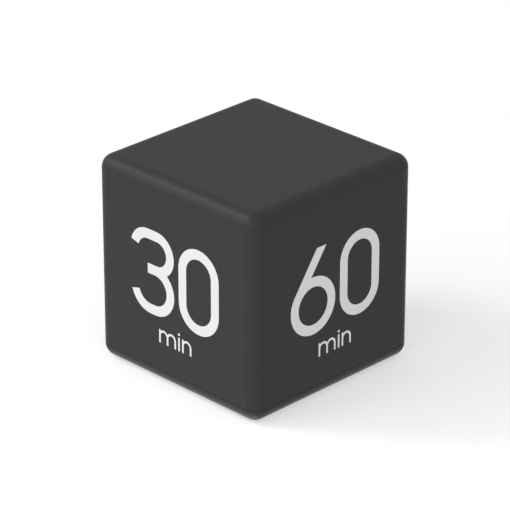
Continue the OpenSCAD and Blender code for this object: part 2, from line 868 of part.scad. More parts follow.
module switch_knob() {
    grip = 0.3;
    grip_depth = 0.35;
    socket_wall = 0.6;
    flange_lap = 1;
    slot_show = 0.6;
    color([0.75, 0.75, 0.75]) translate([off_shift, switch_y, 0]) {
        difference() {
            slab(knob_length, knob_width, part_gap, knob_recess - slip_gap);
            for (i = [-1.5:1:1.5])
                translate([i * knob_length / 5.5, 0, 0])
                    slab(grip, knob_width + 2 * past, 0, part_gap + grip_depth);
        }
        slab(knob_stem, knob_stem, knob_recess - slip_gap - eps, flange_level + eps);
        slab(knob_stem + 2 * (switch_travel - slot_show), knob_stem + 2 * flange_lap,
            flange_level, flange_level + knob_flange);
        difference() {
            slab(slider_size + 2 * socket_wall, slider_size + 2 * socket_wall,
                flange_level + knob_flange - eps, socket_top);
            slab(slider_size + 2 * slip_gap, slider_size + 2 * slip_gap, flange_level + knob_flange,
                socket_top + past);
        }
    }
}

// ---------- tilt switches, each along +X from its closed end ----------

module tilt_can() {
    rotate([0, 90, 0]) difference() {
        cylinder(r = can_radius, h = can_length);
        translate([0, 0, can_sheet]) cylinder(r = can_inner, h = can_length);
    }
}

module tilt_header() {
    rotate([0, 90, 0]) {
        translate([0, 0, can_length - header_length]) cylinder(r = can_inner - press_gap, h = header_length);
        translate([0, 0, can_length - header_length - pin_reach]) cylinder(r = pin_radius, h = header_length);
    }
}

// The two leads of a can that lies down, bent to the board
module tilt_leads() {
    reach = 1.2;
    spread = can_inner / 2;
    for (y = [-spread, spread]) {
        translate([can_length - eps, y, 0]) rotate([0, 90, 0])
            cylinder(r = pin_radius, h = reach + pin_radius);
        translate([can_length + reach, y, -tilt_rise]) cylinder(r = pin_radius, h = tilt_rise);
    }
}

module tilt_ball() {
    translate([can_sheet + ball_radius, 0, 0]) sphere(r = ball_radius);
}

module place_tilt(which) {
    if (which == "a") translate(tilt_a_at) rotate([0, 0, 45]) translate([-can_length / 2, 0, 0]) children();
    if (which == "b") translate(tilt_b_at) rotate([0, 0, -45]) translate([-can_length / 2, 0, 0]) children();
    if (which == "c") translate(tilt_c_at + [0, 0, can_length]) rotate([0, 90, 0]) children();
}

module tilt_can_node(which) {
    color("gold") place_tilt(which) tilt_can();
}

module tilt_header_node(which) {
    color([0.1, 0.1, 0.1]) place_tilt(which) {
        tilt_header();
        if (which != "c") tilt_leads();
    }
}

// The ball of the upright switch rests on its pin; the other two start at their closed ends
module tilt_ball_node(which) {
    color("silver") place_tilt(which) translate([which == "c" ? ball_travel : 0, 0, 0]) tilt_ball();
}

// ---------- battery bay ----------

module battery_holder() {
    divider = 0.6;
    divider_depth = cell_radius * 0.55;
    divider_short = 7;
    into_wall = 0.25;
    color([0.12, 0.12, 0.125]) translate([0, bay_y, 0]) difference() {
        union() {
            difference() {
                slab(bay_length + 2 * holder_wall, bay_width + 2 * holder_wall, floor_thickness, holder_top);
                slab(bay_length, bay_width, floor_thickness - past, holder_ceiling);
            }
            slab(bay_length - 2 * divider_short, divider, holder_ceiling - divider_depth,
                holder_top - holder_wall / 2);
            for (x = [-1, 1])
                translate([x * lug_x, lug_y - bay_y + into_wall, 0])
                    slab(lug_size, lug_size + 2 * into_wall, lug_level, lug_level + holder_wall);
        }
        for (x = [-1, 1])
            translate([x * lug_x, lug_y - bay_y, lug_level - past])
                cylinder(d = clear_diameter, h = holder_wall + 2 * past);
        for (x = [-1, 1])
            translate([x * tab_x, (bay_width + holder_wall) / 2, 0])
                slab(tab_width + 4 * part_gap, holder_wall + 2 * past, floor_thickness - past,
                     tab_level + tab_reach + tab_thickness + past);
        translate([0, -(bay_width + holder_wall) / 2, 0])
            slab(latch_width + 4 * part_gap, holder_wall + 2 * past, floor_thickness - past,
                latch_centre + latch_bend + past);
        for (y = [-1, 1])
            translate([(bay_length - contact_thickness) / 2, y * cell_pitch / 2, 0])
                slab(contact_thickness + 2 * slip_gap, tag_width + 2 * part_gap, holder_ceiling - past,
                    holder_top + past);
    }
}

module holder_screws() {
    color("silver")
        for (x = [-1, 1])
            translate([x * lug_x, lug_y, lug_level + holder_wall])
                rotate([180, 0, 0]) screw(lug_screw_length + holder_wall - tip_room);
}

// The door is a flat plate with a thumb grip, two tabs that hook under the cover's floor, and the latch
module battery_door() {
    length = opening_length - 2 * door_gap;
    width = opening_width - 2 * door_gap;
    edge = width / 2;
    root = 1;
    color(black_plastic) translate([0, bay_y, 0]) {
        difference() {
            slab(length, width, 0, door_thickness);
            for (i = [0:grip_count - 1])
                translate([0, -edge + 2 * grip_pitch + grip_pitch * i, 0])
                    slab(grip_width * (1 - 0.13 * i), grip_pitch / 2, -past, grip_depth);
        }
        for (x = [-1, 1]) translate([x * tab_x, 0, 0]) {
            translate([0, edge - root / 2, 0])
                slab(tab_width, root, door_thickness - eps, tab_level + tab_thickness);
            translate([0, edge + (tab_reach - root) / 2, 0])
                slab(tab_width, tab_reach + root, tab_level, tab_level + tab_thickness);
        }
    }
    color(black_plastic) door_latch();
}

// The springy tongue of the door, bent like a U, with a pad for the thumb at its free end
module door_latch() {
    root = latch_y + door_gap + latch_leg / 2;
    free = root - 2 * latch_bend + latch_leg;
    pad_height = 1;
    rotate([90, 0, 90]) translate([0, 0, -latch_width / 2]) linear_extrude(latch_width) {
        translate([(root + free) / 2, latch_centre]) arc(latch_bend - latch_leg / 2, 0, 180, latch_leg);
        bar([root, door_thickness - eps], [root, latch_centre], latch_leg);
        bar([free, 0], [free, latch_centre], latch_leg);
        translate([free - latch_leg / 2, 0]) square([latch_leg + latch_pad, pad_height]);
    }
}

module door_foam() {
    color([0.25, 0.25, 0.26]) translate([0, bay_y, 0])
        slab(bay_length - 2 * foam_margin, bay_width - foam_margin, door_thickness,
            door_thickness + foam_thickness);
}

// One cell along +X, its nub at +X, centred on its length
module cell() {
    nub = 0.9;
    nub_radius = 1.9;
    shoulder = 0.5;
    body = cell_length - nub;
    rotate([0, 90, 0]) translate([0, 0, -cell_length / 2]) rotate_extrude()
        polygon([[0, 0], [cell_radius - shoulder, 0], [cell_radius, shoulder],
                 [cell_radius, body - shoulder], [cell_radius - shoulder, body],
                 [nub_radius, body], [nub_radius, cell_length], [0, cell_length]]);
}

// The cells lie hard against the flat contacts at their nub ends
module battery_a() {
    color([0.75, 0.35, 0.1]) translate([cell_shift, bay_y + cell_pitch / 2, cell_level]) cell();
}

module battery_b() {
    color([0.75, 0.35, 0.1]) translate([-cell_shift, bay_y - cell_pitch / 2, cell_level])
        rotate([0, 0, 180]) cell();
}

// A contact plate at the +X end of the bay, facing -X, with or without a tag that a lead is soldered to
module contact_plate(width, tag) {
    x = bay_length / 2 - contact_thickness;
    translate([x, -width / 2, cell_level - plate_height / 2]) cube([contact_thickness, width, plate_height]);
    if (tag) translate([x, -tag_width / 2, cell_level])
        cube([contact_thickness, tag_width, holder_top + tag_rise - cell_level]);
}

module nub_contact() {
    translate([bay_length / 2 - contact_thickness - nub_bump, 0, cell_level]) rotate([0, 90, 0])
        cylinder(r = nub_bump_radius, h = nub_bump + eps);
}

module spring_contact() {
    reach = bay_length - 2 * contact_thickness - nub_bump - cell_length - 2 * press_gap;
    translate([bay_length / 2 - contact_thickness, 0, cell_level]) mirror([1, 0, 0]) contact_spring(reach);
}

module positive_contact() {
    color("silver") translate([0, bay_y + cell_pitch / 2, 0]) {
        contact_plate(plate_height, true);
        nub_contact();
    }
}

module negative_contact() {
    color("silver") translate([0, bay_y - cell_pitch / 2, 0]) {
        contact_plate(plate_height, true);
        spring_contact();
    }
}

// The plate that joins the two cells at the -X end
module bridge_contact() {
    color("silver") translate([0, bay_y, 0]) rotate([0, 0, 180]) {
        contact_plate(plate_height + cell_pitch, false);
        translate([0, cell_pitch / 2, 0]) nub_contact();
        translate([0, -cell_pitch / 2, 0]) spring_contact();
    }
}

// ---------- buzzer and leads ----------

module buzzer_plate() {
    color("gold") translate([0, 0, buzzer_level]) cylinder(r = buzzer_radius, h = buzzer_sheet);
}

module buzzer_ceramic() {
    color("white") translate([0, 0, buzzer_level - ceramic_thickness])
        cylinder(r = ceramic_radius, h = ceramic_thickness);
}

module lead(points) {
    tube(smooth(points, 4), lead_radius, lead_sides);
}

// Each lead starts upright on its tag or face and ends upright on the board
tag_x = bay_length / 2 - contact_thickness - lead_radius - part_gap;
function upright(p, rise) = [for (i = [2, 1, 0]) p + [0, 0, slip_gap + i * rise]];
function upright_from(p, rise) = [p, p + [0, 0, rise], p + [0, 0, 2 * rise]];
// Bends of a lead from a point, given for a cube of 62 mm
function bends(from, steps) = [for (step = steps) from + cube_size / 62 * step];

module battery_lead_red() {
    from = [tag_x, bay_y + cell_pitch / 2, holder_top + slip_gap];
    color([0.75, 0.08, 0.06])
        lead(concat(upright_from(from, 1), bends(from, [[-1, 4, 4], [-4, 9, 4]]),
                    upright(on_board(0.88, 0.3), 1.5)));
}

module battery_lead_black() {
    from = [tag_x, bay_y - cell_pitch / 2, holder_top + slip_gap];
    color([0.05, 0.05, 0.05])
        lead(concat(upright_from(from, 1), bends(from, [[-2, 5, 4.5], [-5, 11, 5], [-7, 18, 3.5]]),
                    upright(on_board(0.77, 0.19), 1.5)));
}

module buzzer_lead_red() {
    from = [2, 2, buzzer_level - ceramic_thickness - slip_gap];
    color([0.75, 0.08, 0.06])
        lead(concat(upright_from(from, -1.5),
                    bends([0, 0, 0], [[5, 6, 48], [9, 10, 38], [7, 12, 28], [8, 17, 19]]),
                    upright(on_board(0.36, 0.76), 1.5)));
}

module buzzer_lead_black() {
    from = [0, (buzzer_radius + ceramic_radius) / 2, buzzer_level - slip_gap];
    color([0.05, 0.05, 0.05])
        lead(concat(upright_from(from, -1.5),
                    bends([0, 0, 0], [[2, 10, 48], [5, 8, 36], [3, 14, 27], [6, 21, 18]]),
                    upright(on_board(0.36, 0.91), 1.5)));
}

main_shell();
display_cover();
case_screws();
color(ink) face_paint(3, 0);  // numeral_30
color(ink) face_paint(6, 1);  // numeral_60
color(ink) face_paint(1, 2);  // numeral_15
color(ink) face_paint(2, 3);  // numeral_20
display_window();
lcd_front_glass();
lcd_rear_glass();
lcd_reflector();
lcd_frame();
contact_strip();
circuit_board();
board_screws();
controller_chip();
crystal();
capacitor();
inductor();
surface_parts();
switch_frame();
switch_base();
switch_terminals();
switch_slider();
switch_wiper();
switch_knob();
tilt_can_node("a");  // tilt_can_a
tilt_can_node("b");  // tilt_can_b
tilt_can_node("c");  // tilt_can_c
tilt_header_node("a");  // tilt_header_a
tilt_header_node("b");  // tilt_header_b
tilt_header_node("c");  // tilt_header_c
tilt_ball_node("a");  // tilt_ball_a
tilt_ball_node("b");  // tilt_ball_b
tilt_ball_node("c");  // tilt_ball_c
battery_holder();
holder_screws();
battery_door();
door_foam();
battery_a();
battery_b();
bridge_contact();
positive_contact();
negative_contact();
buzzer_plate();
buzzer_ceramic();
battery_lead_red();
battery_lead_black();
buzzer_lead_red();
buzzer_lead_black();
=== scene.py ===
"""Looks of a cube countdown timer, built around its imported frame."""

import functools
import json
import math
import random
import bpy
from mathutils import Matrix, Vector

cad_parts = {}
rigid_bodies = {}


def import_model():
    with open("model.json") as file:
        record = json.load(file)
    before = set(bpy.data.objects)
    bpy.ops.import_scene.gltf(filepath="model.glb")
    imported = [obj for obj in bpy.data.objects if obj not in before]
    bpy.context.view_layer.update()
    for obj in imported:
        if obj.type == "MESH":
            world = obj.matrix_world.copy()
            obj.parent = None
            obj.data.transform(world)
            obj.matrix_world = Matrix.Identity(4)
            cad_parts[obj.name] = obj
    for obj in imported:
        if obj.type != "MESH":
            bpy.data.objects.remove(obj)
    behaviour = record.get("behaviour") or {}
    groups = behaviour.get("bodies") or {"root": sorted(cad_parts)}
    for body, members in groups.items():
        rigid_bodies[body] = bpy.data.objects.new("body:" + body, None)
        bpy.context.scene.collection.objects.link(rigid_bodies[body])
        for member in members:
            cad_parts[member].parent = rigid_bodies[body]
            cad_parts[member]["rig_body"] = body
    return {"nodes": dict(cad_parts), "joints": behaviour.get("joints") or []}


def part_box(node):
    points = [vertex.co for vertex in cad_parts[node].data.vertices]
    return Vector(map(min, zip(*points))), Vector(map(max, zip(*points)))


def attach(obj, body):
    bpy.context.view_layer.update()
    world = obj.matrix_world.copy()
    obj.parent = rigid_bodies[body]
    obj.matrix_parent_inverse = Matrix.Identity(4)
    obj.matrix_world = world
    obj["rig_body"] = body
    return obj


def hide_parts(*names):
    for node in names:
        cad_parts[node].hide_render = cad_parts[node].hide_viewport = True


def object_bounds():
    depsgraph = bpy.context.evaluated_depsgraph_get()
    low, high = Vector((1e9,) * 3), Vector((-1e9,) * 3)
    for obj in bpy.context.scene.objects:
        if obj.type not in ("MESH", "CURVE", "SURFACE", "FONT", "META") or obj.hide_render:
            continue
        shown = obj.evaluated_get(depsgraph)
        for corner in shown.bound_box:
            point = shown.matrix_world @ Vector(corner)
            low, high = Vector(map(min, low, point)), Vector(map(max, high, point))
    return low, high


bl_info = {
    "name": "Cube Timer Looks",
    "version": (1, 0, 0),
    "blender": (4, 5, 0),
    "location": "3D View > Sidebar > Cube Timer",
    "description": "Dresses a cube countdown timer: finishes, marks, display, circuit, cells and screws",
    "category": "Object",
}

import bmesh
import bpy
from mathutils import Matrix, Vector

for leftover in list(bpy.data.objects):
    bpy.data.objects.remove(leftover)
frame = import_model()
cad_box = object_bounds()

MM = 0.001
CUBE = (cad_box[1] - cad_box[0]).x
HALF = CUBE / 2


# ---------- sizes and colours that a user would change ----------


def size(name, description, default):
    """A length, in metres."""
    return bpy.props.FloatProperty(
        name=name, description=description, default=default, unit="LENGTH", precision=5
    )


def angle(name, description, degrees):
    """An angle, given in degrees."""
    return bpy.props.FloatProperty(
        name=name, description=description, default=math.radians(degrees), unit="ROTATION"
    )


def power(name, description, default):
    """The power of a lamp, in watts."""
    return bpy.props.FloatProperty(name=name, description=description, default=default, unit="POWER")


def tint(name, description, default):
    """A colour, in linear light."""
    return bpy.props.FloatVectorProperty(
        name=name, description=description, default=default, subtype="COLOR", size=3, min=0.0, max=1.0
    )


class TimerColours(bpy.types.PropertyGroup):
    """Colours of the timer's finishes."""

    case: tint("Case", "Charcoal plastic of the housing and the battery door", (0.0335, 0.0335, 0.034))
    ink: tint("Ink", "White paint of the numerals and the small marks", (0.84, 0.84, 0.835))
    knob: tint("Knob", "Grey plastic of the switch knob", (0.42, 0.42, 0.42))
    inner: tint("Inner plastic", "Black plastic of the battery holder", (0.022, 0.022, 0.023))
    white: tint("White plastic", "Plastic of the frame behind the display", (0.76, 0.76, 0.74))
    display: tint("Display", "Pale field behind the digits", (0.58, 0.62, 0.53))
    segment: tint("Segment", "A digit's segment when it is on", (0.025, 0.028, 0.03))
    board: tint("Board", "Solder mask of the circuit board", (0.012, 0.115, 0.045))
    copper: tint("Copper", "Winding of the inductor", (0.72, 0.28, 0.12))
    brass: tint("Brass", "Buzzer plate and the switch's contacts", (0.78, 0.55, 0.22))
    gilt: tint("Gilt", "Plated cans of the tilt switches", (0.86, 0.66, 0.31))
    steel: tint("Steel", "Screws, contacts and springs", (0.60, 0.60, 0.61))
    sleeve: tint("Cell sleeve", "Printed sleeve of a cell", (0.035, 0.12, 0.30))
    band: tint("Cell band", "Band at the positive end of a cell", (0.66, 0.66, 0.64))
    foam: tint("Foam", "Pad in the battery door", (0.05, 0.05, 0.053))
    red: tint("Red lead", "Insulation of the positive leads", (0.50, 0.018, 0.012))
    black: tint("Black lead", "Insulation of the negative leads", (0.018, 0.018, 0.018))


class TimerSizes(bpy.types.PropertyGroup):
    """Sizes of what is added to the frame."""

    edge: size("Edge", "Rounding of the housing's moulded edges", 0.12 * MM)
    fine_edge: size("Fine edge", "Rounding of small moulded and stamped edges", 0.06 * MM)
    ink_film: size("Ink film", "Thickness of the small printed marks", 0.02 * MM)
    digit_height: size("Digit height", "Height of the display's digits", 8.2 * MM)
    digit_width: size("Digit width", "Width of the display's digits", 4.5 * MM)
    segment: size("Segment", "Width of one segment", 0.95 * MM)
    colon: size("Colon", "Room for the colon between the digits", 2.4 * MM)
    wire: size("Spring wire", "Thickness of the contact springs' wire", 0.6 * MM)
    thread: size("Thread", "Pitch of the screws' threads", 0.75 * MM)


class TimerStage(bpy.types.PropertyGroup):
    """Camera and light."""

    azimuth: angle("Azimuth", "Turn of the camera about the cube", 45)
    elevation: angle("Elevation", "Height of the camera above the horizon", 25.5)
    distance: size("Distance", "From the camera to the middle of the cube", 0.9)
    lens: bpy.props.FloatProperty(name="Lens", description="Focal length", default=228, unit="CAMERA")
    ambient: bpy.props.FloatProperty(
        name="Ambient", description="Strength of the even light from all round", default=0.38, min=0, max=2
    )
    key: power("Key", "Lamp at the left", 3.4)
    fill: power("Fill", "Lamp at the right", 2.9)
    front: power("Front", "Lamp behind the camera", 1.4)
    edge: power("Edge", "Small lamp for the edge's shine", 2.2)
    low: power("Low", "Lamp under the floor", 6.0)


# ---------- finishes ----------


def add_node(tree, kind, inputs, settings):
    """A node in a tree, with its settings and its inputs, which are values or other nodes' sockets."""
    node = tree.nodes.new(kind)
    for name, value in settings.items():
        setattr(node, name, value)
    for name, value in (inputs or {}).items():
        if isinstance(value, bpy.types.NodeSocket):
            tree.links.new(value, node.inputs[name])
        else:
            node.inputs[name].default_value = value
    return node


class Finish:
    """A material whose patterns are sized in metres, on the coordinates of its own piece."""

    def __init__(self, name, colour, roughness=0.5, metallic=0.0, specular=0.5, **constants):
        self.material = bpy.data.materials.new(name)
        self.material.use_nodes = True
        self.tree = self.material.node_tree
        self.shader = self.tree.nodes["Principled BSDF"]
        self.material.diffuse_color = (*colour, 1.0)
        self.colour = (*colour, 1.0)
        self.roughness = roughness
        self.normal = None
        self.place = self.add("ShaderNodeTexCoord").outputs["Object"]
        constants = {"Metallic": metallic, "Specular IOR Level": specular, **constants}
        for socket, value in constants.items():
            self.shader.inputs[socket].default_value = value

    def add(self, kind, inputs=None, **settings):
        """A node of this finish."""
        return add_node(self.tree, kind, inputs, settings)

    def math(self, operation, a, b=0.0):
        """The result of one sum."""
        return self.add("ShaderNodeMath", {0: a, 1: b}, operation=operation).outputs[0]

    def noise(self, grain, detail=2.0, stretch=(1, 1, 1)):
        """Soft patches of about the size of the grain, from 0 to 1."""
        scale = self.add("ShaderNodeVectorMath", {0: self.place, 1: stretch}, operation="MULTIPLY")
        inputs = {"Vector": scale.outputs[0], "Scale": 1 / grain, "Detail": detail}
        return self.add("ShaderNodeTexNoise", inputs).outputs["Fac"]

    def cells(self, grain):
        """Distance to the nearest of many scattered points, as a share of the grain."""
        inputs = {"Vector": self.place, "Scale": 1 / grain}
        return self.add("ShaderNodeTexVoronoi", inputs).outputs["Distance"]

    def ramp(self, value, low, high, to_low=0.0, to_high=1.0):
        """The value as it goes from low to high, spread softly from to_low to to_high."""
        inputs = {"Value": value, "From Min": low, "From Max": high, "To Min": to_low, "To Max": to_high}
        return self.add("ShaderNodeMapRange", inputs, interpolation_type="SMOOTHSTEP").outputs["Result"]

    def marked(self, name):
        """A value from 0 to 1 that the mesh itself carries."""
        return self.add("ShaderNodeAttribute", attribute_name=name).outputs["Fac"]

    def along(self, axis):
        """The place along one axis, in metres."""
        return self.add("ShaderNodeSeparateXYZ", {0: self.place}).outputs[axis]

    def vary(self, pattern, amount):
        """Makes the colour darker and lighter by a share, as the pattern goes from 0 to 1."""
        colour = self.colour if isinstance(self.colour, bpy.types.NodeSocket) else self.colour[:3]
        inputs = {0: colour, "Scale": self.ramp(pattern, 0.25, 0.75, 1 - amount, 1 + amount)}
        self.colour = self.add("ShaderNodeVectorMath", inputs, operation="SCALE").outputs[0]

    def stain(self, pattern, colour, amount=1.0):
        """Mixes another colour in where the pattern is 1."""
        factor = self.math("MULTIPLY", pattern, amount)
        inputs = {"Factor": factor, 6: self.colour, 7: (*colour, 1.0)}
        self.colour = self.add("ShaderNodeMix", inputs, data_type="RGBA").outputs[2]

    def roughen(self, pattern, amount):
        """Adds to the roughness as the pattern goes from 0 to 1."""
        self.roughness = self.math("ADD", self.roughness, self.math("MULTIPLY", pattern, amount))

    def relief(self, pattern, depth):
        """Raises the surface by a depth where the pattern is 1."""
        inputs = {"Height": pattern, "Distance": depth, "Strength": 1.0}
        if self.normal:
            inputs["Normal"] = self.normal
        self.normal = self.add("ShaderNodeBump", inputs).outputs["Normal"]

    def done(self):
        """The material, once its colour, roughness and relief have reached the shader."""
        ends = {"Base Color": self.colour, "Roughness": self.roughness, "Normal": self.normal}
        for name, value in ends.items():
            if isinstance(value, bpy.types.NodeSocket):
                self.tree.links.new(value, self.shader.inputs[name])
            elif value is not None:
                self.shader.inputs[name].default_value = value
        return self.material


def colours():
    """The colours set in the panel."""
    return bpy.context.scene.timer_colours


def sizes():
    """The sizes set in the panel."""
    return bpy.context.scene.timer_sizes


def paler(colour, factor, lift=0.0):
    """A colour made lighter, within what a surface can be."""
    return [min(1.0, c * factor + lift) for c in colour]


def moulded(name, colour, spark=0.28 * MM, roughness=0.5, specular=0.16, polished_and_highlighted=None, contrast=1.0):
    """Plastic from a spark-eroded mould: fine even grain, faint mottle, and rounded edges smoother and
    painted paler, partly as wear and partly as a painted highlight.

    spark is the size of the grain, and the edge mask gives where fingers have polished the plastic smoother
    and where a highlight is painted on it as a paler colour."""
    look = Finish(name, colour, roughness, specular=specular)
    grain = look.noise(spark, 3.0)
    look.vary(look.noise(9 * MM, 2.0), 0.035 * contrast)
    look.vary(grain, 0.12 * contrast)
    patches = look.ramp(look.noise(1.6 * MM, 3.0), 0.3, 0.6, 0.45, 1.0)
    # Rounded edges painted paler: partly wear, partly a painted highlight. The lower roughness further on is
    # real.
    edge_wear_and_highlight = look.math("MULTIPLY", look.marked("edge_wear_and_highlight"), patches)
    look.stain(edge_wear_and_highlight, paler(colour, 1.9, 0.01), 0.35)
    look.roughen(grain, 0.16)
    look.roughen(edge_wear_and_highlight, -0.09)
    if polished_and_highlighted:
        polish_and_highlight = polished_and_highlighted(look)
        # Painted highlight: the colour is made paler along the cube's rounded edges and a little darker on
        # its faces. The lower roughness on the next line is real polish.
        look.vary(polish_and_highlight, 0.05)
        look.roughen(polish_and_highlight, -0.15)
    look.relief(look.cells(spark * 1.3), 0.014 * MM * contrast)
    look.relief(grain, 0.022 * MM * contrast)
    return look.done()


def cube_edges(look):
    """1 along the cube's rounded edges, where two of the three distances from the middle are large."""
    inner = HALF - 3.6 * MM
    outer = HALF - 1.6 * MM
    height = look.math("SUBTRACT", look.along("Z"), HALF)
    x, y, z = (look.math("ABSOLUTE", v) for v in (look.along("X"), look.along("Y"), height))
    wider = look.math("MAXIMUM", x, y)
    second = look.math("MAXIMUM", look.math("MINIMUM", x, y), look.math("MINIMUM", wider, z))
    return look.ramp(second, inner, outer)


@functools.cache
def charcoal_abs():
    return moulded("charcoal_abs", colours().case, polished_and_highlighted=cube_edges)


@functools.cache
def holder_abs():
    return moulded("holder_abs", colours().inner, 0.45 * MM, 0.42, 0.4)


@functools.cache
def frame_abs():
    return moulded("frame_abs", colours().white, 0.3 * MM, 0.42, 0.4, contrast=0.3)


@functools.cache
def knob_abs():
    return moulded("knob_abs", colours().knob, 0.2 * MM, 0.42, 0.35, contrast=0.6)


@functools.cache
def slider_acetal():
    return moulded("slider_acetal", (0.02, 0.02, 0.02), 0.35 * MM, 0.35, 0.45)


@functools.cache
def numeral_paint():
    look = Finish("numeral_paint", colours().ink, 0.4, specular=0.4)
    fine = look.noise(0.22 * MM, 3.0)
    look.vary(look.noise(7 * MM), 0.012)
    look.vary(fine, 0.018)
    look.roughen(fine, 0.14)
    look.relief(fine, 0.005 * MM)
    return look.done()


@functools.cache
def clear_acrylic():
    look = Finish("clear_acrylic", (0.75, 0.78, 0.78), 0.03, specular=0.6, IOR=1.49, Alpha=0.05)
    smear = look.noise(5 * MM, 3.0)
    look.vary(smear, 0.05)
    look.roughen(smear, 0.05)
    look.relief(look.noise(3 * MM), 0.004 * MM)
    return look.done()


@functools.cache
def display_glass():
    look = Finish("plate_glass", (0.56, 0.62, 0.53), 0.05, specular=0.5, IOR=1.52, Alpha=0.12)
    haze = look.noise(4 * MM, 2.0)
    look.vary(haze, 0.03)
    look.roughen(haze, 0.06)
    look.relief(haze, 0.002 * MM)
    return look.done()


@functools.cache
def border_ink():
    look = Finish("border_ink", (0.012, 0.012, 0.013), 0.3, specular=0.4)
    fine = look.noise(0.3 * MM)
    look.vary(fine, 0.1)
    look.roughen(fine, 0.15)
    look.relief(fine, 0.003 * MM)
    return look.done()


def pearl(name, colour, roughness):
    """A film with a faint metallic fleck: the display's pale field, and the sheet behind its glass."""
    look = Finish(name, colour, roughness, specular=0.4)
    fleck = look.noise(0.12 * MM, 2.0)
    look.vary(fleck, 0.05)
    look.vary(look.noise(8 * MM), 0.025)
    look.roughen(fleck, 0.2)
    look.relief(fleck, 0.003 * MM)
    return look.done()


@functools.cache
def polariser_film():
    return pearl("polariser_film", colours().display, 0.42)


@functools.cache
def pearl_film():
    return pearl("pearl_film", (0.66, 0.66, 0.65), 0.35)


def segment_film(name, colour, roughness, mottle):
    """What shows of a display segment."""
    look = Finish(name, colour, roughness)
    look.vary(look.noise(0.5 * MM), mottle)
    look.roughen(look.noise(0.3 * MM), 0.1)
    return look.done()


@functools.cache
def segment_dark():
    return segment_film("segment_dark", colours().segment, 0.4, 0.1)


@functools.cache
def segment_faint():
    return segment_film("segment_faint", paler(colours().display, 0.9), 0.45, 0.03)


@functools.cache
def strip_rubber():
    """Silicone of the contact strip: thin carbon layers in pink rubber, all along its length."""
    pitch = 0.36 * MM
    look = Finish("strip_rubber", (0.62, 0.27, 0.30), 0.55, specular=0.3)
    turn = look.math("MULTIPLY", look.along("X"), 2 * math.pi / pitch)
    layer = look.ramp(look.math("SINE", turn), 0.0, 0.35)
    look.stain(layer, (0.02, 0.02, 0.02), 0.95)
    grain = look.noise(0.3 * MM)
    look.vary(grain, 0.08)
    look.roughen(grain, 0.15)
    look.relief(layer, 0.008 * MM)
    return look.done()


@functools.cache
def board_mask():
    """Solder mask over glass fibre: a fine weave shows through it."""
    thread = 0.5 * MM
    look = Finish("board_mask", colours().board, 0.3, **{"Coat Weight": 0.3})
    weave = [look.math("SINE", look.math("MULTIPLY", look.along(a), 2 * math.pi / thread)) for a in "XY"]
    cloth = look.ramp(look.math("MULTIPLY", *weave), -0.6, 0.6)
    look.vary(cloth, 0.05)
    look.vary(look.noise(6 * MM), 0.06)
    look.roughen(look.noise(0.6 * MM), 0.15)
    look.relief(cloth, 0.004 * MM)
    return look.done()


@functools.cache
def track_mask():
    look = Finish("track_mask", paler(colours().board, 1.55, 0.01), 0.28)
    look.vary(look.noise(1.2 * MM), 0.06)
    look.roughen(look.noise(0.5 * MM), 0.12)
    look.relief(look.noise(0.3 * MM), 0.002 * MM)
    return look.done()


def metal(name, colour, roughness, grain=(1, 1, 1), tarnish=(0.25, 0.22, 0.2), tarnished=0.12):
    """Worn metal: drawn or rolled grain, patches of tarnish, and edges painted brighter, partly as wear and
    partly as a painted highlight.
    """
    look = Finish(name, colour, roughness, metallic=1.0)
    rolled = look.noise(0.12 * MM, 3.0, grain)
    patches = look.ramp(look.noise(1.8 * MM, 4.0), 0.45, 0.75)
    look.vary(rolled, 0.06)
    look.stain(patches, tarnish, tarnished)
    # Rounded edges painted brighter: partly wear, partly a painted highlight.
    look.stain(look.marked("edge_wear_and_highlight"), paler(colour, 1.15), 0.4)
    look.roughen(rolled, 0.12)
    look.roughen(patches, 0.12)
    look.relief(rolled, 0.003 * MM)
    return look.done()


@functools.cache
def zinc_steel():
    return metal("zinc_steel", colours().steel, 0.24)


@functools.cache
def screw_steel():
    return metal("screw_steel", (0.30, 0.30, 0.31), 0.28, tarnished=0.3)


@functools.cache
def rolled_steel():
    return metal("rolled_steel", colours().steel, 0.22, (1, 1, 0.08))


@functools.cache
def spring_steel():
    return metal("spring_steel", [c * 1.05 for c in colours().steel], 0.2, tarnished=0.18)


@functools.cache
def ball_steel():
    return metal("ball_steel", (0.68, 0.68, 0.69), 0.1, tarnished=0.03)


@functools.cache
def contact_brass():
    return metal("contact_brass", colours().brass, 0.24, (0.1, 1, 1), (0.5, 0.3, 0.12), 0.16)


@functools.cache
def gilt_brass():
    return metal("gilt_plating", colours().gilt, 0.16, (1, 1, 0.1), (0.5, 0.3, 0.12), 0.2)


@functools.cache
def winding_copper():
    return metal("winding_copper", colours().copper, 0.22, (1, 1, 1), (0.4, 0.13, 0.06), 0.3)


@functools.cache
def solder_tin():
    return metal("solder_tin", (0.66, 0.66, 0.65), 0.2, tarnish=(0.4, 0.4, 0.38), tarnished=0.3)


@functools.cache
def electrode_silver():
    return metal("electrode_silver", (0.80, 0.78, 0.74), 0.42, (1, 0.15, 1), (0.5, 0.45, 0.36), 0.2)


def coated(name, colour, roughness, grain, amount=0.06, depth=0.01 * MM, specular=0.5, coat=0.0):
    """A dull or glossy coat with an even fine grain: epoxy, sleeves, ceramics and insulation."""
    look = Finish(name, colour, roughness, specular=specular, **{"Coat Weight": coat})
    fine = look.noise(grain, 3.0)
    look.vary(fine, amount)
    look.vary(look.noise(grain * 14), amount * 0.6)
    # Rounded edges painted paler: partly wear, partly a painted highlight.
    look.stain(look.marked("edge_wear_and_highlight"), paler(colour, 1.5, 0.01), 0.3)
    look.roughen(fine, 0.15)
    look.relief(fine, depth)
    return look.done()


@functools.cache
def black_epoxy():
    return coated("black_epoxy", (0.012, 0.012, 0.013), 0.2, 0.7 * MM, 0.12, 0.02 * MM)


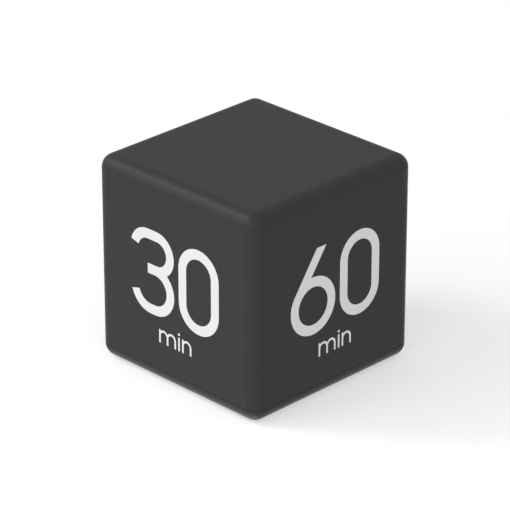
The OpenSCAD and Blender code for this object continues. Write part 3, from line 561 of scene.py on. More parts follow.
@functools.cache
def ferrite():
    return coated("sintered_ferrite", (0.045, 0.043, 0.042), 0.5, 0.25 * MM, 0.16, 0.02 * MM, 0.4)


@functools.cache
def phenolic_brown():
    return coated("phenolic_brown", (0.11, 0.05, 0.022), 0.4, 0.4 * MM, 0.15)


@functools.cache
def sleeve_pvc():
    return coated("sleeve_pvc", (0.015, 0.018, 0.035), 0.26, 0.6 * MM, 0.08, 0.006 * MM, coat=0.3)


@functools.cache
def stripe_print():
    return coated("stripe_print", (0.50, 0.50, 0.48), 0.3, 0.5 * MM, 0.04, 0.004 * MM)


@functools.cache
def chip_body():
    return coated("chip_body", (0.02, 0.02, 0.022), 0.38, 0.12 * MM, 0.15, 0.006 * MM)


@functools.cache
def chip_tan():
    return coated("chip_tan", (0.34, 0.22, 0.12), 0.45, 0.12 * MM, 0.1, 0.006 * MM)


@functools.cache
def piezo_ceramic():
    return coated("ceramic_disc", (0.62, 0.57, 0.46), 0.55, 0.2 * MM, 0.08, 0.008 * MM, 0.35)


@functools.cache
def cell_sleeve():
    return coated("cell_sleeve_print", colours().sleeve, 0.24, 0.35 * MM, 0.05, 0.003 * MM, coat=0.4)


@functools.cache
def cell_band():
    return coated("cell_band_print", colours().band, 0.26, 0.35 * MM, 0.04, 0.003 * MM, coat=0.4)


@functools.cache
def red_insulation():
    return coated("red_insulation", colours().red, 0.38, 0.3 * MM, 0.07, 0.006 * MM)


@functools.cache
def black_insulation():
    return coated("black_insulation", colours().black, 0.38, 0.3 * MM, 0.12, 0.006 * MM)


@functools.cache
def open_foam():
    """Foam with open cells: painted shade darkens the pores between the pale walls."""
    look = Finish("open_foam", colours().foam, 0.9, specular=0.15, **{"Sheen Weight": 0.15})
    pores = look.ramp(look.cells(0.4 * MM), 0.05, 0.5)
    # Painted shade: the pores are darkened where light would not reach into them.
    look.stain(look.math("SUBTRACT", 1.0, pores), (0.008, 0.008, 0.008), 0.75)
    look.vary(look.noise(3 * MM, 3.0), 0.12)
    look.relief(pores, 0.06 * MM)
    return look.done()


# ---------- shapes ----------


def mesh_from(work, name):
    """The mesh that was drawn."""
    mesh = bpy.data.meshes.new(name)
    work.to_mesh(mesh)
    work.free()
    return mesh


def placed(name, data):
    """A new object in the scene."""
    thing = bpy.data.objects.new(name, data)
    bpy.context.scene.collection.objects.link(thing)
    return thing


def finished(work, name, finishes, body, slot, *nodes, crease=32, even=True):
    """Turns a drawn mesh into a piece that rides on a body and stands for CAD nodes."""
    return settled(mesh_from(work, name), name, finishes, body, slot, *nodes, crease=crease, even=even)


def settled(mesh, name, finishes, body, slot, *nodes, crease=32, even=True):
    """Gives a mesh its finishes and soft shading, and puts it on its body.

    A mesh from a tree brings its own finish behind an empty slot, and needs none."""
    for finish in finishes:
        mesh.materials.append(finish)
    if mesh.materials[0] is None:
        mesh.materials.pop(index=0)
    mesh.shade_smooth()
    mesh.set_sharp_from_angle(angle=math.radians(crease))
    piece = placed(name, mesh)
    if even:
        evener = piece.modifiers.new("even", "WEIGHTED_NORMAL")
        evener.keep_sharp = True
        piece.data = evaluated(piece)
        piece.modifiers.clear()
    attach(piece, body)
    if nodes:
        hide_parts(*nodes)
    return piece


def evaluated(piece):
    """The piece's mesh with its modifiers worked in."""
    bpy.context.view_layer.update()
    graph = bpy.context.evaluated_depsgraph_get()
    source = piece.evaluated_get(graph)
    return bpy.data.meshes.new_from_object(source, preserve_all_data_layers=True, depsgraph=graph)


def merged(node):
    """A copy of a CAD node's mesh with its corners joined and its flat faces whole."""
    work = bmesh.new()
    work.from_mesh(frame["nodes"][node].data)
    bmesh.ops.remove_doubles(work, verts=work.verts, dist=0.001 * MM)
    bmesh.ops.dissolve_limit(work, angle_limit=math.radians(0.2), verts=work.verts, edges=work.edges)
    return work


def edge_wear_and_highlight_layer(work):
    """What says of each face whether it is a rounded edge, which the finishes paint paler as wear and as a
    painted highlight. It comes before any face or edge is picked.
    """
    return work.faces.layers.float.get("edge_wear_and_highlight") or work.faces.layers.float.new("edge_wear_and_highlight")


def bevel(work, edges, width, layer):
    """Rounds edges, and marks the rounded faces, which the finishes paint paler as wear and as a painted
    highlight.
    """
    made = bmesh.ops.bevel(
        work, geom=edges, offset=width, segments=2, profile=0.5, affect="EDGES", clamp_overlap=True
    )
    for face in made["faces"]:
        face[layer] = 1.0


def round_edges(work, width, sharp=40, where=None):
    """Rounds the edges that turn by more than sharp, in degrees."""
    layer = edge_wear_and_highlight_layer(work)
    limit = math.radians(sharp)
    edges = [e for e in work.edges if len(e.link_faces) == 2 and e.calc_face_angle() > limit]
    if where:
        edges = [e for e in edges if where(e)]
    bevel(work, edges, width, layer)
    bmesh.ops.dissolve_degenerate(work, dist=0.0005 * MM, edges=work.edges)


def softened(node, finish, slot, width, where=None):
    """A CAD node with its sharp edges rounded, in its place on its body."""
    work = merged(node)
    round_edges(work, width, where=where)
    body = frame["nodes"][node]["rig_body"]
    return finished(work, node + "_finished", [finish], body, slot, node)


def turned(work, profile, place=None, segments=32, part=None):
    """Adds a shape turned about +Z. The profile lists (radius, height), with radius 0 where it closes.

    part gives the number of a face's finish, from its ring and its side."""
    place = place or Matrix()
    rings = []
    for radius, height in profile:
        count = 1 if radius == 0 else segments
        angles = [2 * math.pi * k / segments for k in range(count)]
        rings.append([work.verts.new(place @ Vector((radius * math.cos(a), radius * math.sin(a), height)))
                      for a in angles])
    made = []
    for i, (low, high) in enumerate(zip(rings, rings[1:])):
        for k in range(segments):
            n = k + 1
            corners = [low[k % len(low)], low[n % len(low)], high[n % len(high)], high[k % len(high)]]
            face = work.faces.new(list(dict.fromkeys(corners)))
            face.material_index = part(i, k) if part else 0
            made.append(face)
    bmesh.ops.recalc_face_normals(work, faces=made)
    return made


def block(work, low, high, edge):
    """Adds a box between two corners, with rounded edges."""
    low = Vector(low)
    high = Vector(high)
    layer = edge_wear_and_highlight_layer(work)
    made = bmesh.ops.create_cube(work, size=1)["verts"]
    fit = Matrix.Translation((low + high) / 2) @ Matrix.Diagonal((*(high - low), 1))
    bmesh.ops.transform(work, matrix=fit, verts=made)
    edges = list(dict.fromkeys(e for v in made for e in v.link_edges))
    bevel(work, edges, edge, layer)


def plate(work, outline, low, high):
    """Adds a flat shape with an outline on x and y, from one height to another."""
    rims = [[work.verts.new((x, y, z)) for x, y in outline] for z in (low, high)]
    made = [work.faces.new(rims[0][::-1]), work.faces.new(rims[1])]
    count = len(outline)
    for k in range(count):
        n = (k + 1) % count
        made.append(work.faces.new((rims[0][k], rims[0][n], rims[1][n], rims[1][k])))
    bmesh.ops.recalc_face_normals(work, faces=made)


def round_corners(width, height, radius, steps=6):
    """Points round a rectangle with round corners, centred on the origin."""
    points = []
    for turn, (sx, sy) in enumerate(((1, 1), (-1, 1), (-1, -1), (1, -1))):
        for i in range(steps + 1):
            a = math.pi / 2 * (turn + i / steps)
            centre = (sx * (width / 2 - radius), sy * (height / 2 - radius))
            points.append((centre[0] + radius * math.cos(a), centre[1] + radius * math.sin(a)))
    return points


def middle(node):
    """The middle of a CAD node's box."""
    low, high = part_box(node)
    return (low + high) / 2


def mm(x, y, z):
    """A point or a step from its lengths in mm."""
    return Vector((x, y, z)) * MM


def lying(start, direction):
    """Places a shape drawn along +Z so that it starts at a point and runs in a direction."""
    turn = Vector(direction).to_track_quat("Z", "Y").to_matrix().to_4x4()
    return Matrix.Translation(start) @ turn


# ---------- geometry trees ----------


class Tree:
    """A geometry tree with named inputs, which ends in real geometry with a finish."""

    def __init__(self, name, inputs):
        self.tree = bpy.data.node_groups.new(name, "GeometryNodeTree")
        self.tree.is_modifier = True
        self.tree.interface.new_socket("Geometry", in_out="INPUT", socket_type="NodeSocketGeometry")
        self.names = {}
        for label, (kind, value) in {**inputs, "Finish": ("Material", None)}.items():
            socket = self.tree.interface.new_socket(label, in_out="INPUT", socket_type="NodeSocket" + kind)
            if value is not None:
                socket.default_value = value
            self.names[label] = socket.identifier
        self.tree.interface.new_socket("Geometry", in_out="OUTPUT", socket_type="NodeSocketGeometry")
        self.given = self.tree.nodes.new("NodeGroupInput").outputs

    def add(self, kind, inputs=None, **settings):
        """A node of this tree. Most kinds are geometry nodes, and go by their short names."""
        kind = kind if kind.startswith(("Shader", "Function")) else "GeometryNode" + kind
        return add_node(self.tree, kind, inputs, settings)

    def end(self, geometry):
        """The tree itself, once its geometry is real and has its finish."""
        real = self.add("RealizeInstances", {"Geometry": geometry}).outputs[0]
        shown = self.add("SetMaterial", {"Geometry": real, "Material": self.given["Finish"]}).outputs[0]
        result = self.tree.nodes.new("NodeGroupOutput")
        self.tree.links.new(shown, result.inputs[0])
        return self

    def grow(self, values, base=None):
        """The mesh that the tree makes from a base mesh, with these values for its named inputs."""
        host = placed("host", base or bpy.data.meshes.new("base"))
        modifier = host.modifiers.new("grow", "NODES")
        modifier.node_group = self.tree
        for label, value in values.items():
            modifier[self.names[label]] = value
        mesh = evaluated(host)
        bpy.data.objects.remove(host)
        return mesh


@functools.cache
def coil_tree():
    """Wire wound in a coil about +Z, rising from z = 0."""
    tree = Tree("coil", {
        "Turns": ("Float", 4.0), "Start Radius": ("Float", 0.003), "End Radius": ("Float", 0.002),
        "Height": ("Float", 0.004), "Wire Radius": ("Float", 0.0003),
        "Steps": ("Int", 32), "Sides": ("Int", 10),
    })
    given = tree.given
    line = tree.add("CurveSpiral", {
        "Resolution": given["Steps"], "Rotations": given["Turns"], "Start Radius": given["Start Radius"],
        "End Radius": given["End Radius"], "Height": given["Height"],
    }).outputs[0]
    ring = tree.add("CurvePrimitiveCircle", {"Resolution": given["Sides"], "Radius": given["Wire Radius"]})
    wire = tree.add("CurveToMesh", {"Curve": line, "Profile Curve": ring.outputs[0], "Fill Caps": True})
    return tree.end(wire.outputs[0])


@functools.cache
def lead_tree():
    """A round lead along the edges of the base mesh, smoothed between its points."""
    tree = Tree("lead", {"Radius": ("Float", 0.0005), "Step": ("Float", 0.0006), "Sides": ("Int", 16)})
    given = tree.given
    line = tree.add("MeshToCurve", {"Mesh": given["Geometry"]}).outputs[0]
    bent = tree.add("CurveSplineType", {"Curve": line}, spline_type="CATMULL_ROM").outputs[0]
    even = tree.add("ResampleCurve", {"Curve": bent, "Length": given["Step"]}, mode="LENGTH").outputs[0]
    ring = tree.add("CurvePrimitiveCircle", {"Resolution": given["Sides"], "Radius": given["Radius"]})
    skin = tree.add("CurveToMesh", {"Curve": even, "Profile Curve": ring.outputs[0], "Fill Caps": True})
    return tree.end(skin.outputs[0])


@functools.cache
def grid_tree():
    """Copies of the base mesh on a grid, each turned at random about its own axis."""
    tree = Tree("grid", {
        "Centre": ("Vector", (0, 0, 0)), "Reach": ("Vector", (0.02, 0.02, 0)),
        "Across": ("Int", 2), "Along": ("Int", 2), "Tilt": ("Vector", (0, 0, 0)),
        "Turn": ("Float", 3.1), "Seed": ("Int", 7),
    })
    given = tree.given
    split = tree.add("ShaderNodeSeparateXYZ", {0: given["Reach"]})
    spots = tree.add("MeshGrid", {
        "Size X": split.outputs[0], "Size Y": split.outputs[1],
        "Vertices X": given["Across"], "Vertices Y": given["Along"],
    }).outputs[0]
    moved = tree.add("Transform", {"Geometry": spots, "Translation": given["Centre"]}).outputs[0]
    copies = tree.add("InstanceOnPoints", {
        "Points": moved, "Instance": given["Geometry"], "Rotation": given["Tilt"],
    }).outputs[0]
    turn = tree.add("FunctionNodeRandomValue", {3: given["Turn"], "Seed": given["Seed"]}, data_type="FLOAT")
    spin = tree.add("ShaderNodeCombineXYZ", {2: turn.outputs[1]}).outputs[0]
    spun = tree.add("RotateInstances", {"Instances": copies, "Rotation": spin, "Local Space": True})
    return tree.end(spun.outputs[0])


@functools.cache
def scatter_tree():
    """A copy of a shape on each point of the base mesh."""
    tree = Tree("scatter", {"Shape": ("Object", None)})
    given = tree.given
    shape = tree.add("ObjectInfo", {"Object": given["Shape"]}).outputs["Geometry"]
    copies = tree.add("InstanceOnPoints", {"Points": given["Geometry"], "Instance": shape}).outputs[0]
    return tree.end(copies)


def base_mesh(points, joins=()):
    """A mesh of bare points, and of the edges that join them."""
    mesh = bpy.data.meshes.new("base")
    mesh.from_pydata([tuple(p) for p in points], joins, [])
    return mesh


def scattered(work, points, finish):
    """Copies of a drawn shape at points, as one mesh."""
    shape = placed("shape", mesh_from(work, "shape"))
    made = scatter_tree().grow({"Shape": shape, "Finish": finish}, base_mesh(points))
    bpy.data.objects.remove(shape)
    return made


def lead_mesh(points, radius, finish, step=0.5 * MM, sides=14):
    """A round lead through points."""
    base = base_mesh(points, [(i, i + 1) for i in range(len(points) - 1)])
    return lead_tree().grow({"Radius": radius, "Step": step, "Sides": sides, "Finish": finish}, base)


def joined(*meshes):
    """One drawn mesh from several, with each finish listed once."""
    work = bmesh.new()
    finishes = []
    for mesh in meshes:
        start = len(work.faces)
        work.from_mesh(mesh)
        work.faces.ensure_lookup_table()
        finishes.extend(f for f in dict.fromkeys(mesh.materials) if f and f not in finishes)
        for face in work.faces[start:]:
            face.material_index = finishes.index(mesh.materials[face.material_index])
    return work, finishes


# ---------- operators ----------


def dress(node, finish):
    """Gives a CAD node that keeps its own shape its finish."""
    frame["nodes"][node].data.materials[0] = finish


class TIMER_OT_case(bpy.types.Operator):
    """Finishes the main shell, and the display cover with its openings' edges softened"""

    bl_idname = "timer.case"
    bl_label = "Case"

    def execute(self, context):
        dress("main_shell", charcoal_abs())
        cover = softened("display_cover", charcoal_abs(), "case_plastic", sizes().edge, off_the_rim)
        room_for_print(cover)
        return {"FINISHED"}


def room_for_print(piece):
    """Lifts a standing face by the thickness of the marks on it, which then reach down to z = 0."""
    film = sizes().ink_film
    for v in piece.data.vertices:
        v.co.z = max(v.co.z, film)


def off_the_rim(edge):
    """True for the edges of the openings in the cover's standing face."""
    below = 1.5 * MM
    return all(v.co.z < below for v in edge.verts)


class TIMER_OT_numerals(bpy.types.Operator):
    """Paints the numerals in the four faces"""

    bl_idname = "timer.numerals"
    bl_label = "Numerals"

    def execute(self, context):
        for node in frame["nodes"]:
            if node.startswith("numeral_"):
                dress(node, numeral_paint())
        return {"FINISHED"}


class TIMER_OT_marks(bpy.types.Operator):
    """Prints the words beside the switch and the arrow on the battery door"""

    bl_idname = "timer.marks"
    bl_label = "Marks"

    def execute(self, context):
        switch_words(sizes().ink_film)
        door_arrow(sizes().ink_film)
        return {"FINISHED"}


def switch_words(film):
    """OFF and ON at the two ends of the switch's thumb recess."""
    row = middle("switch_knob").y
    height = 1.1 * MM
    work = bmesh.new()
    for word, place in (("OFF", -7.95 * MM), ("ON", 7.85 * MM)):
        letters = lettering(word, height, film)
        letters.transform(Matrix.Translation((place, row, film)) @ Matrix.Rotation(math.pi, 4, "Y"))
        work.from_mesh(letters)
    finished(work, "switch_marks", [numeral_paint()], "case", "numeral_ink", even=False)


def door_arrow(film):
    """Two arrowheads that show which way the battery door opens."""
    tip = Vector((0, middle("door_foam").y + 1.5 * MM))
    step = Vector((0, 1.6 * MM))
    work = bmesh.new()
    for place in (tip, tip - step):
        chevron(work, place, 2.6 * MM, 0.6 * MM, film)
    finished(work, "door_arrow", [numeral_paint()], "battery_door", "numeral_ink", even=False)


def lettering(text, height, film):
    """Flat capitals, centred on the origin and read from +Z, as a mesh of the film's thickness."""
    size_per_height = 1.4
    curve = bpy.data.curves.new("letters", "FONT")
    curve.body = text
    curve.size = height * size_per_height
    curve.extrude = film / 2
    curve.align_x = "CENTER"
    curve.align_y = "CENTER"
    curve.resolution_u = 6
    holder = placed("letters", curve)
    mesh = evaluated(holder)
    bpy.data.objects.remove(holder)
    work = bmesh.new()
    work.from_mesh(mesh)
    bmesh.ops.remove_doubles(work, verts=work.verts, dist=0.001 * MM)
    bmesh.ops.translate(work, verts=work.verts, vec=(0, 0, film / 2))
    bmesh.ops.recalc_face_normals(work, faces=work.faces)
    work.to_mesh(mesh)
    work.free()
    return mesh


def chevron(work, tip, width, stroke, film):
    """An arrowhead of two strokes that points along -Y, printed just above z = 0."""
    half = width / 2
    tall = stroke * 1.2
    outline = [(0, 0), (half, half), (half, half + tall), (0, tall), (-half, half + tall), (-half, half)]
    plate(work, [(tip.x + x, tip.y + y) for x, y in outline], 0, film)


class TIMER_OT_display(bpy.types.Operator):
    """Makes the window with its black border, the two glass plates, the reflector and the digits"""

    bl_idname = "timer.display"
    bl_label = "Display"

    def execute(self, context):
        edge = sizes().fine_edge
        softened("display_window", clear_acrylic(), "window", edge * 2)
        softened("contact_strip", strip_rubber(), "contact_rubber", edge * 2)
        softened("lcd_frame", frame_abs(), "white_plastic", edge * 2)
        pane("lcd_front_glass", polariser_film(), "display_glass", edge, sizes().ink_film)
        pane("lcd_rear_glass", display_glass(), "display_glass", edge)
        pane("lcd_reflector", pearl_film(), "reflector_film", edge * 0.5)
        window_border()
        digits(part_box("lcd_front_glass")[0].z, sizes().ink_film * 0.8)
        return {"FINISHED"}


def pane(node, finish, slot, edge, room=0.0):
    """A plate of the display with ground edges, which leaves room under it for the digits."""
    low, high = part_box(node)
    work = bmesh.new()
    block(work, low + Vector((0, 0, room)), high, edge)
    finished(work, node + "_ground", [finish], "case", slot, node)


def window_border():
    """Black print under the window, round the clear view."""
    low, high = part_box("display_window")
    centre = middle("display_window")
    wide, tall, _ = high - low
    border = 2 * MM
    inset = 0.05 * MM
    outer = round_corners(wide - 2 * inset, tall - 2 * inset, 0.5 * MM)
    inner = round_corners(wide - 2 * border, tall - 2 * border, 1.0 * MM)
    levels = (high.z - 0.04 * MM, high.z - 0.01 * MM)
    work = bmesh.new()
    rings = [[work.verts.new((centre.x + x, centre.y + y, z)) for x, y in rim]
             for rim in (outer, inner) for z in levels]
    count = len(outer)
    for a, b in ((0, 1), (1, 3), (3, 2), (2, 0)):
        for k in range(count):
            n = (k + 1) % count
            work.faces.new((rings[a][k], rings[a][n], rings[b][n], rings[b][k]))
    bmesh.ops.recalc_face_normals(work, faces=work.faces)
    finished(work, "window_border", [border_ink()], "case", "window", even=False)


def segment(work, middle_x, middle_y, length, width, upright, film):
    """One six-sided segment of a digit, centred on a point."""
    half = length / 2
    side = width / 2
    flat = half - side
    outline = [(-half, 0), (-flat, -side), (flat, -side), (half, 0), (flat, side), (-flat, side)]
    if upright:
        outline = [(-y, x) for x, y in outline]
    plate(work, [(middle_x + x, middle_y + y) for x, y in outline], 0, film)


def digit_shape(names, film):
    """The named segments of a digit: a at the top, then clockwise to f, and g in the middle."""
    stroke = sizes().segment
    x = (sizes().digit_width - stroke) / 2
    y = (sizes().digit_height - stroke) / 2
    gap = 0.12 * MM
    level = {"a": (0, y), "d": (0, -y), "g": (0, 0)}
    upright = {"b": (x, y / 2), "c": (x, -y / 2), "e": (-x, -y / 2), "f": (-x, y / 2)}
    work = bmesh.new()
    for name in names:
        if name in level:
            segment(work, *level[name], 2 * x - gap, stroke, False, film)
        else:
            segment(work, *upright[name], y - gap, stroke, True, film)
    return work


def digits(level, film):
    """Four noughts and a colon on the film of the front glass, read from below with +Y up."""
    centre = middle("display_window")
    pitch = sizes().digit_width + 1.2 * MM
    half_colon = sizes().colon / 2
    spots = [(-(i * pitch + math.copysign(half_colon, i)), 0, 0) for i in (-1.5, -0.5, 0.5, 1.5)]
    spread = sizes().digit_height * 0.2
    dot = bmesh.new()
    plate(dot, round_corners(sizes().segment, sizes().segment, 0.2 * MM), 0, film)
    slant = -0.1
    lean = Matrix.Identity(4)
    lean[0][1] = slant
    parts = {
        "display_digits": scattered(digit_shape("abcdef", film), spots, segment_dark()),
        "display_faint_segments": scattered(digit_shape("g", film * 0.4), spots, segment_faint()),
        "display_colon": scattered(dot, [(0, -spread, 0), (0, spread, 0)], segment_dark()),
    }
    for name, mesh in parts.items():
        mesh.transform(Matrix.Translation((centre.x, centre.y, level)) @ lean)
        settled(mesh, name, (), "case", "display_glass", even=False)


def on_board(x, y):
    """A point on the circuit board's upper face, from shares of its half length and its depth."""
    low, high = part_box("circuit_board")
    return Vector((x * high.x, low.y + y * (high.y - low.y), high.z))


class TIMER_OT_board(bpy.types.Operator):
    """Makes the circuit board with its tracks, printed outlines and solder joints"""

    bl_idname = "timer.board"
    bl_label = "Circuit board"

    def execute(self, context):
        softened("circuit_board", board_mask(), "board", sizes().fine_edge)
        tracks()
        board_print()
        solder_joints()
        return {"FINISHED"}


# Tracks as routes of points, each in shares of the board as on_board takes them
TRACKS = [
    [(-0.85, 0.36), (-0.72, 0.44), (-0.45, 0.44), (-0.30, 0.30)],
    [(-0.85, 0.42), (-0.74, 0.50), (-0.34, 0.50), (-0.20, 0.42)],
    [(-0.86, 0.60), (-0.70, 0.60), (-0.44, 0.60), (-0.18, 0.60)],
    [(-0.86, 0.66), (-0.30, 0.66), (-0.24, 0.72)],
    [(-0.36, 0.94), (-0.20, 0.94), (-0.10, 0.86), (0.00, 0.86)],
    [(-0.17, 0.26), (-0.17, 0.30), (0.20, 0.30), (0.36, 0.34)],
    [(0.02, 0.26), (0.24, 0.26), (0.34, 0.29)],
    [(0.12, 0.16), (0.30, 0.16), (0.40, 0.22)],
    [(0.70, 0.32), (0.80, 0.32), (0.88, 0.30)],
    [(0.70, 0.26), (0.74, 0.19)],
    [(0.58, 0.46), (0.58, 0.54), (0.64, 0.60)],
    [(0.44, 0.46), (0.36, 0.54), (0.36, 0.72)],
    [(0.50, 0.46), (0.42, 0.56), (0.42, 0.84), (0.38, 0.90)],
    [(0.68, 0.45), (0.78, 0.50), (0.78, 0.62), (0.72, 0.68)],
    [(-0.60, 0.92), (-0.40, 0.88), (-0.26, 0.88)],
    [(0.30, 0.63), (0.16, 0.63), (0.02, 0.60)],
]


@functools.cache
def track_tree():
    """A flat track along the edges of the base mesh."""
    tree = Tree("track", {"Width": ("Float", 0.0004), "Height": ("Float", 0.00004)})
    given = tree.given
    line = tree.add("MeshToCurve", {"Mesh": given["Geometry"]}).outputs[0]
    level = tree.add("SetCurveNormal", {"Curve": line}, mode="Z_UP").outputs[0]
    bar = tree.add("CurvePrimitiveQuadrilateral", {"Width": given["Width"], "Height": given["Height"]})
    skin = tree.add("CurveToMesh", {"Curve": level, "Profile Curve": bar.outputs[0], "Fill Caps": True})
    return tree.end(skin.outputs[0])


def laid(name, routes, closed, width, height, finish, slot):
    """Flat lines along routes on the circuit board, each closed to a ring or open."""
    points = []
    joins = []
    for route in routes:
        first = len(points)
        points.extend(route)
        joins.extend((first + i, first + i + 1) for i in range(len(route) - 1))
        if closed:
            joins.append((len(points) - 1, first))
    values = {"Width": width, "Height": height, "Finish": finish}
    mesh = track_tree().grow(values, base_mesh(points, joins))
    settled(mesh, name, (), "case", slot, even=False)


def tracks():
    """Copper tracks under the solder mask, as faint raised lines."""
    routes = [[on_board(*p) for p in route] for route in TRACKS]
    laid("board_tracks", routes, False, 0.45 * MM, 0.06 * MM, track_mask(), "board")


def board_print():
    """White outlines printed round the parts, without any lettering."""
    level = on_board(0, 0).z
    sides = 40
    turns = [2 * math.pi * k / sides for k in range(sides)]
    rings = []
    for node, room in (("capacitor", 0.45 * MM), ("inductor", 0.45 * MM), ("tilt_can_c", 0.5 * MM)):
        low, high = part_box(node)
        reach = (high.x - low.x) / 2 + room
        x, y, _ = middle(node)
        rings.append([Vector((x + reach * math.cos(a), y + reach * math.sin(a), level)) for a in turns])
    low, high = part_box("crystal")
    room = 0.5 * MM
    left, right = low.x - room, high.x + room
    front, back = low.y - room, high.y + room
    corners = ((left, front), (right, front), (right, back), (left, back))
    rings.append([Vector((x, y, level)) for x, y in corners])
    laid("board_print", rings, True, 0.16 * MM, 0.03 * MM, numeral_paint(), "numeral_ink")


# Where each lead ends on the board, in shares of the board
LEAD_ENDS = {
    "battery_lead_red": (0.88, 0.3), "battery_lead_black": (0.77, 0.19),
    "buzzer_lead_red": (0.36, 0.76), "buzzer_lead_black": (0.36, 0.91),
}


def solder_joints():
    """A small cone of solder at each leg and lead that comes through the board."""
    pitch = 2 * MM
    legs = [Vector((i * pitch, middle("switch_base").y, on_board(0, 0).z)) for i in (-1.5, -0.5, 0.5, 1.5)]
    legs += [on_board(*end) for end in LEAD_ENDS.values()]
    cone = bmesh.new()
    profile = [(0, -0.02), (0.85, -0.02), (0.85, 0.03), (0.62, 0.10), (0.42, 0.30), (0.34, 0.50), (0.2, 0.60),
               (0, 0.62)]
    turned(cone, [(radius * MM, height * MM) for radius, height in profile], segments=18)
    mesh = scattered(cone, legs, solder_tin())
    settled(mesh, "solder_joints", (), "case", "steel", even=False)


class TIMER_OT_components(bpy.types.Operator):
    """Makes what the circuit board carries"""

    bl_idname = "timer.components"
    bl_label = "Components"

    def execute(self, context):
        epoxy_drop()
        crystal_can()
        capacitor_can()
        inductor_drum()
        chips()
        return {"FINISHED"}


def epoxy_drop():
    """A drop of epoxy that ran a little unevenly before it set."""
    low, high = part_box("controller_chip")
    centre = middle("controller_chip")
    reach = (high.x - low.x) / 2
    rise = high.z - low.z
    dice = random.Random(5)
    waves = [(n, dice.uniform(0.004, 0.014), dice.uniform(0, 6.28)) for n in (2, 3, 4, 5, 7)]
    mean = 0.965
    rings = 12
    arc = [math.pi / 2 * i / rings for i in range(1, rings + 1)]
    work = bmesh.new()
    faces = turned(work, [(0, 1), *((math.sin(a), math.cos(a)) for a in arc), (0, 0)], segments=48)
    for v in work.verts:
        turn = math.atan2(v.co.y, v.co.x)
        run = reach * (mean + sum(share * math.sin(n * turn + phase) for n, share, phase in waves))
        steepness = 1.15 + 0.3 * v.co.xy.length
        v.co = Vector((v.co.x * run, v.co.y * run, rise * v.co.z ** steepness))
    bmesh.ops.translate(work, verts=work.verts, vec=(centre.x, centre.y, low.z))
    bmesh.ops.recalc_face_normals(work, faces=faces)
    finished(work, "controller_drop", [black_epoxy()], "case", "epoxy", "controller_chip", crease=80)


def crystal_can():
    """A watch crystal lying on the board, with a rolled end and two legs."""
    low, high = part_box("crystal")
    centre = middle("crystal")
    radius = (high.z - low.z) / 2
    length = 6 * MM
    leg = 2 * MM
    leg_radius = 0.14 * MM
    spread = 0.4 * MM
    start = Vector((high.x - length, centre.y, centre.z))
    work = bmesh.new()
    turned(work, [(0, 0), (radius * 0.7, 0), (radius * 0.72, 0.18 * MM), (radius * 0.99, 0.22 * MM),
                  (radius, 0.45 * MM), (radius * 0.95, 0.62 * MM), (radius * 0.95, length - 0.4 * MM),
                  (radius * 0.85, length - 0.12 * MM), (radius * 0.6, length), (0, length)],
           lying(start, (1, 0, 0)))
    for side in (-spread, spread):
        turned(work, [(0, 0), (leg_radius, 0), (leg_radius, leg), (0, leg)],
               lying(Vector((low.x, centre.y + side, centre.z)), (1, 0, 0)), segments=10)
    finished(work, "crystal_can", [zinc_steel()], "case", "steel", "crystal")


def capacitor_can():
    """An upright capacitor: shrunk sleeve with a pale stripe, and a scored metal top."""
    low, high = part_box("capacitor")
    centre = middle("capacitor")
    radius = (high.x - low.x) / 2
    tall = high.z - low.z
    foot = [(0, 0), (radius * 0.86, 0)]
    sleeve = [(radius * 0.97, 0.12 * MM), (radius, 0.4 * MM), (radius, 1.0 * MM), (radius * 0.93, 1.25 * MM),
              (radius * 0.93, 1.4 * MM), (radius, 1.65 * MM), (radius, tall - 0.7 * MM),
              (radius * 0.96, tall - 0.42 * MM), (radius * 0.86, tall - 0.32 * MM)]
    top = [(radius * 0.80, tall - 0.36 * MM), (radius * 0.80, tall - 0.1 * MM), (radius * 0.74, tall),
           (0, tall)]
    stripe = 7
    work = bmesh.new()

    def part(ring, side):
        """0 for the sleeve, 1 for the stripe printed on it, 2 for the metal top."""
        if ring >= len(foot + sleeve):
            return 2
        return 1 if side < stripe and len(foot) <= ring < len(foot + sleeve) - 1 else 0

    turned(work, foot + sleeve + top, Matrix.Translation((centre.x, centre.y, low.z)), 48, part)
    finished(work, "capacitor_can", [sleeve_pvc(), stripe_print(), zinc_steel()], "case", "capacitor_sleeve",
             "capacitor", crease=40)


def inductor_drum():
    """A ferrite drum wound with enamelled wire."""
    low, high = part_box("inductor")
    centre = middle("inductor")
    radius = (high.x - low.x) / 2
    flange = 1 * MM
    core = radius * 0.55
    base = Matrix.Translation((centre.x, centre.y, low.z))
    tall = high.z - low.z
    soft = 0.12 * MM
    work = bmesh.new()
    turned(work, [(0, 0), (radius - soft, 0), (radius, soft), (radius, flange - soft),
                  (radius - soft, flange), (core, flange), (core, tall - flange),
                  (radius - soft, tall - flange), (radius, tall - flange + soft), (radius, tall - soft),
                  (radius - soft, tall), (0, tall)], base, 48)
    finished(work, "inductor_drum", [ferrite()], "case", "ferrite", "inductor")
    wire = 0.3 * MM
    outer = radius - 0.55 * MM
    rise = tall - 2 * flange - wire
    layers = [coil_tree().grow({
        "Turns": rise / wire, "Start Radius": at, "End Radius": at, "Height": rise,
        "Wire Radius": wire / 2, "Steps": 28, "Sides": 6, "Finish": winding_copper(),
    }) for at in (outer - wire, outer)]
    work, finishes = joined(*layers)
    bmesh.ops.translate(work, verts=work.verts, vec=(centre.x, centre.y, low.z + flange + wire / 2))
    finished(work, "inductor_winding", finishes, "case", "brass", even=False, crease=80)


# Where the chip parts lie, in shares of the board
CHIPS = [(-0.17, 0.21), (-0.02, 0.21), (0.12, 0.21), (0.02, 0.35), (0.77, 0.45), (0.77, 0.56), (0.34, 0.63),
         (-0.22, 0.9), (-0.26, 0.74)]


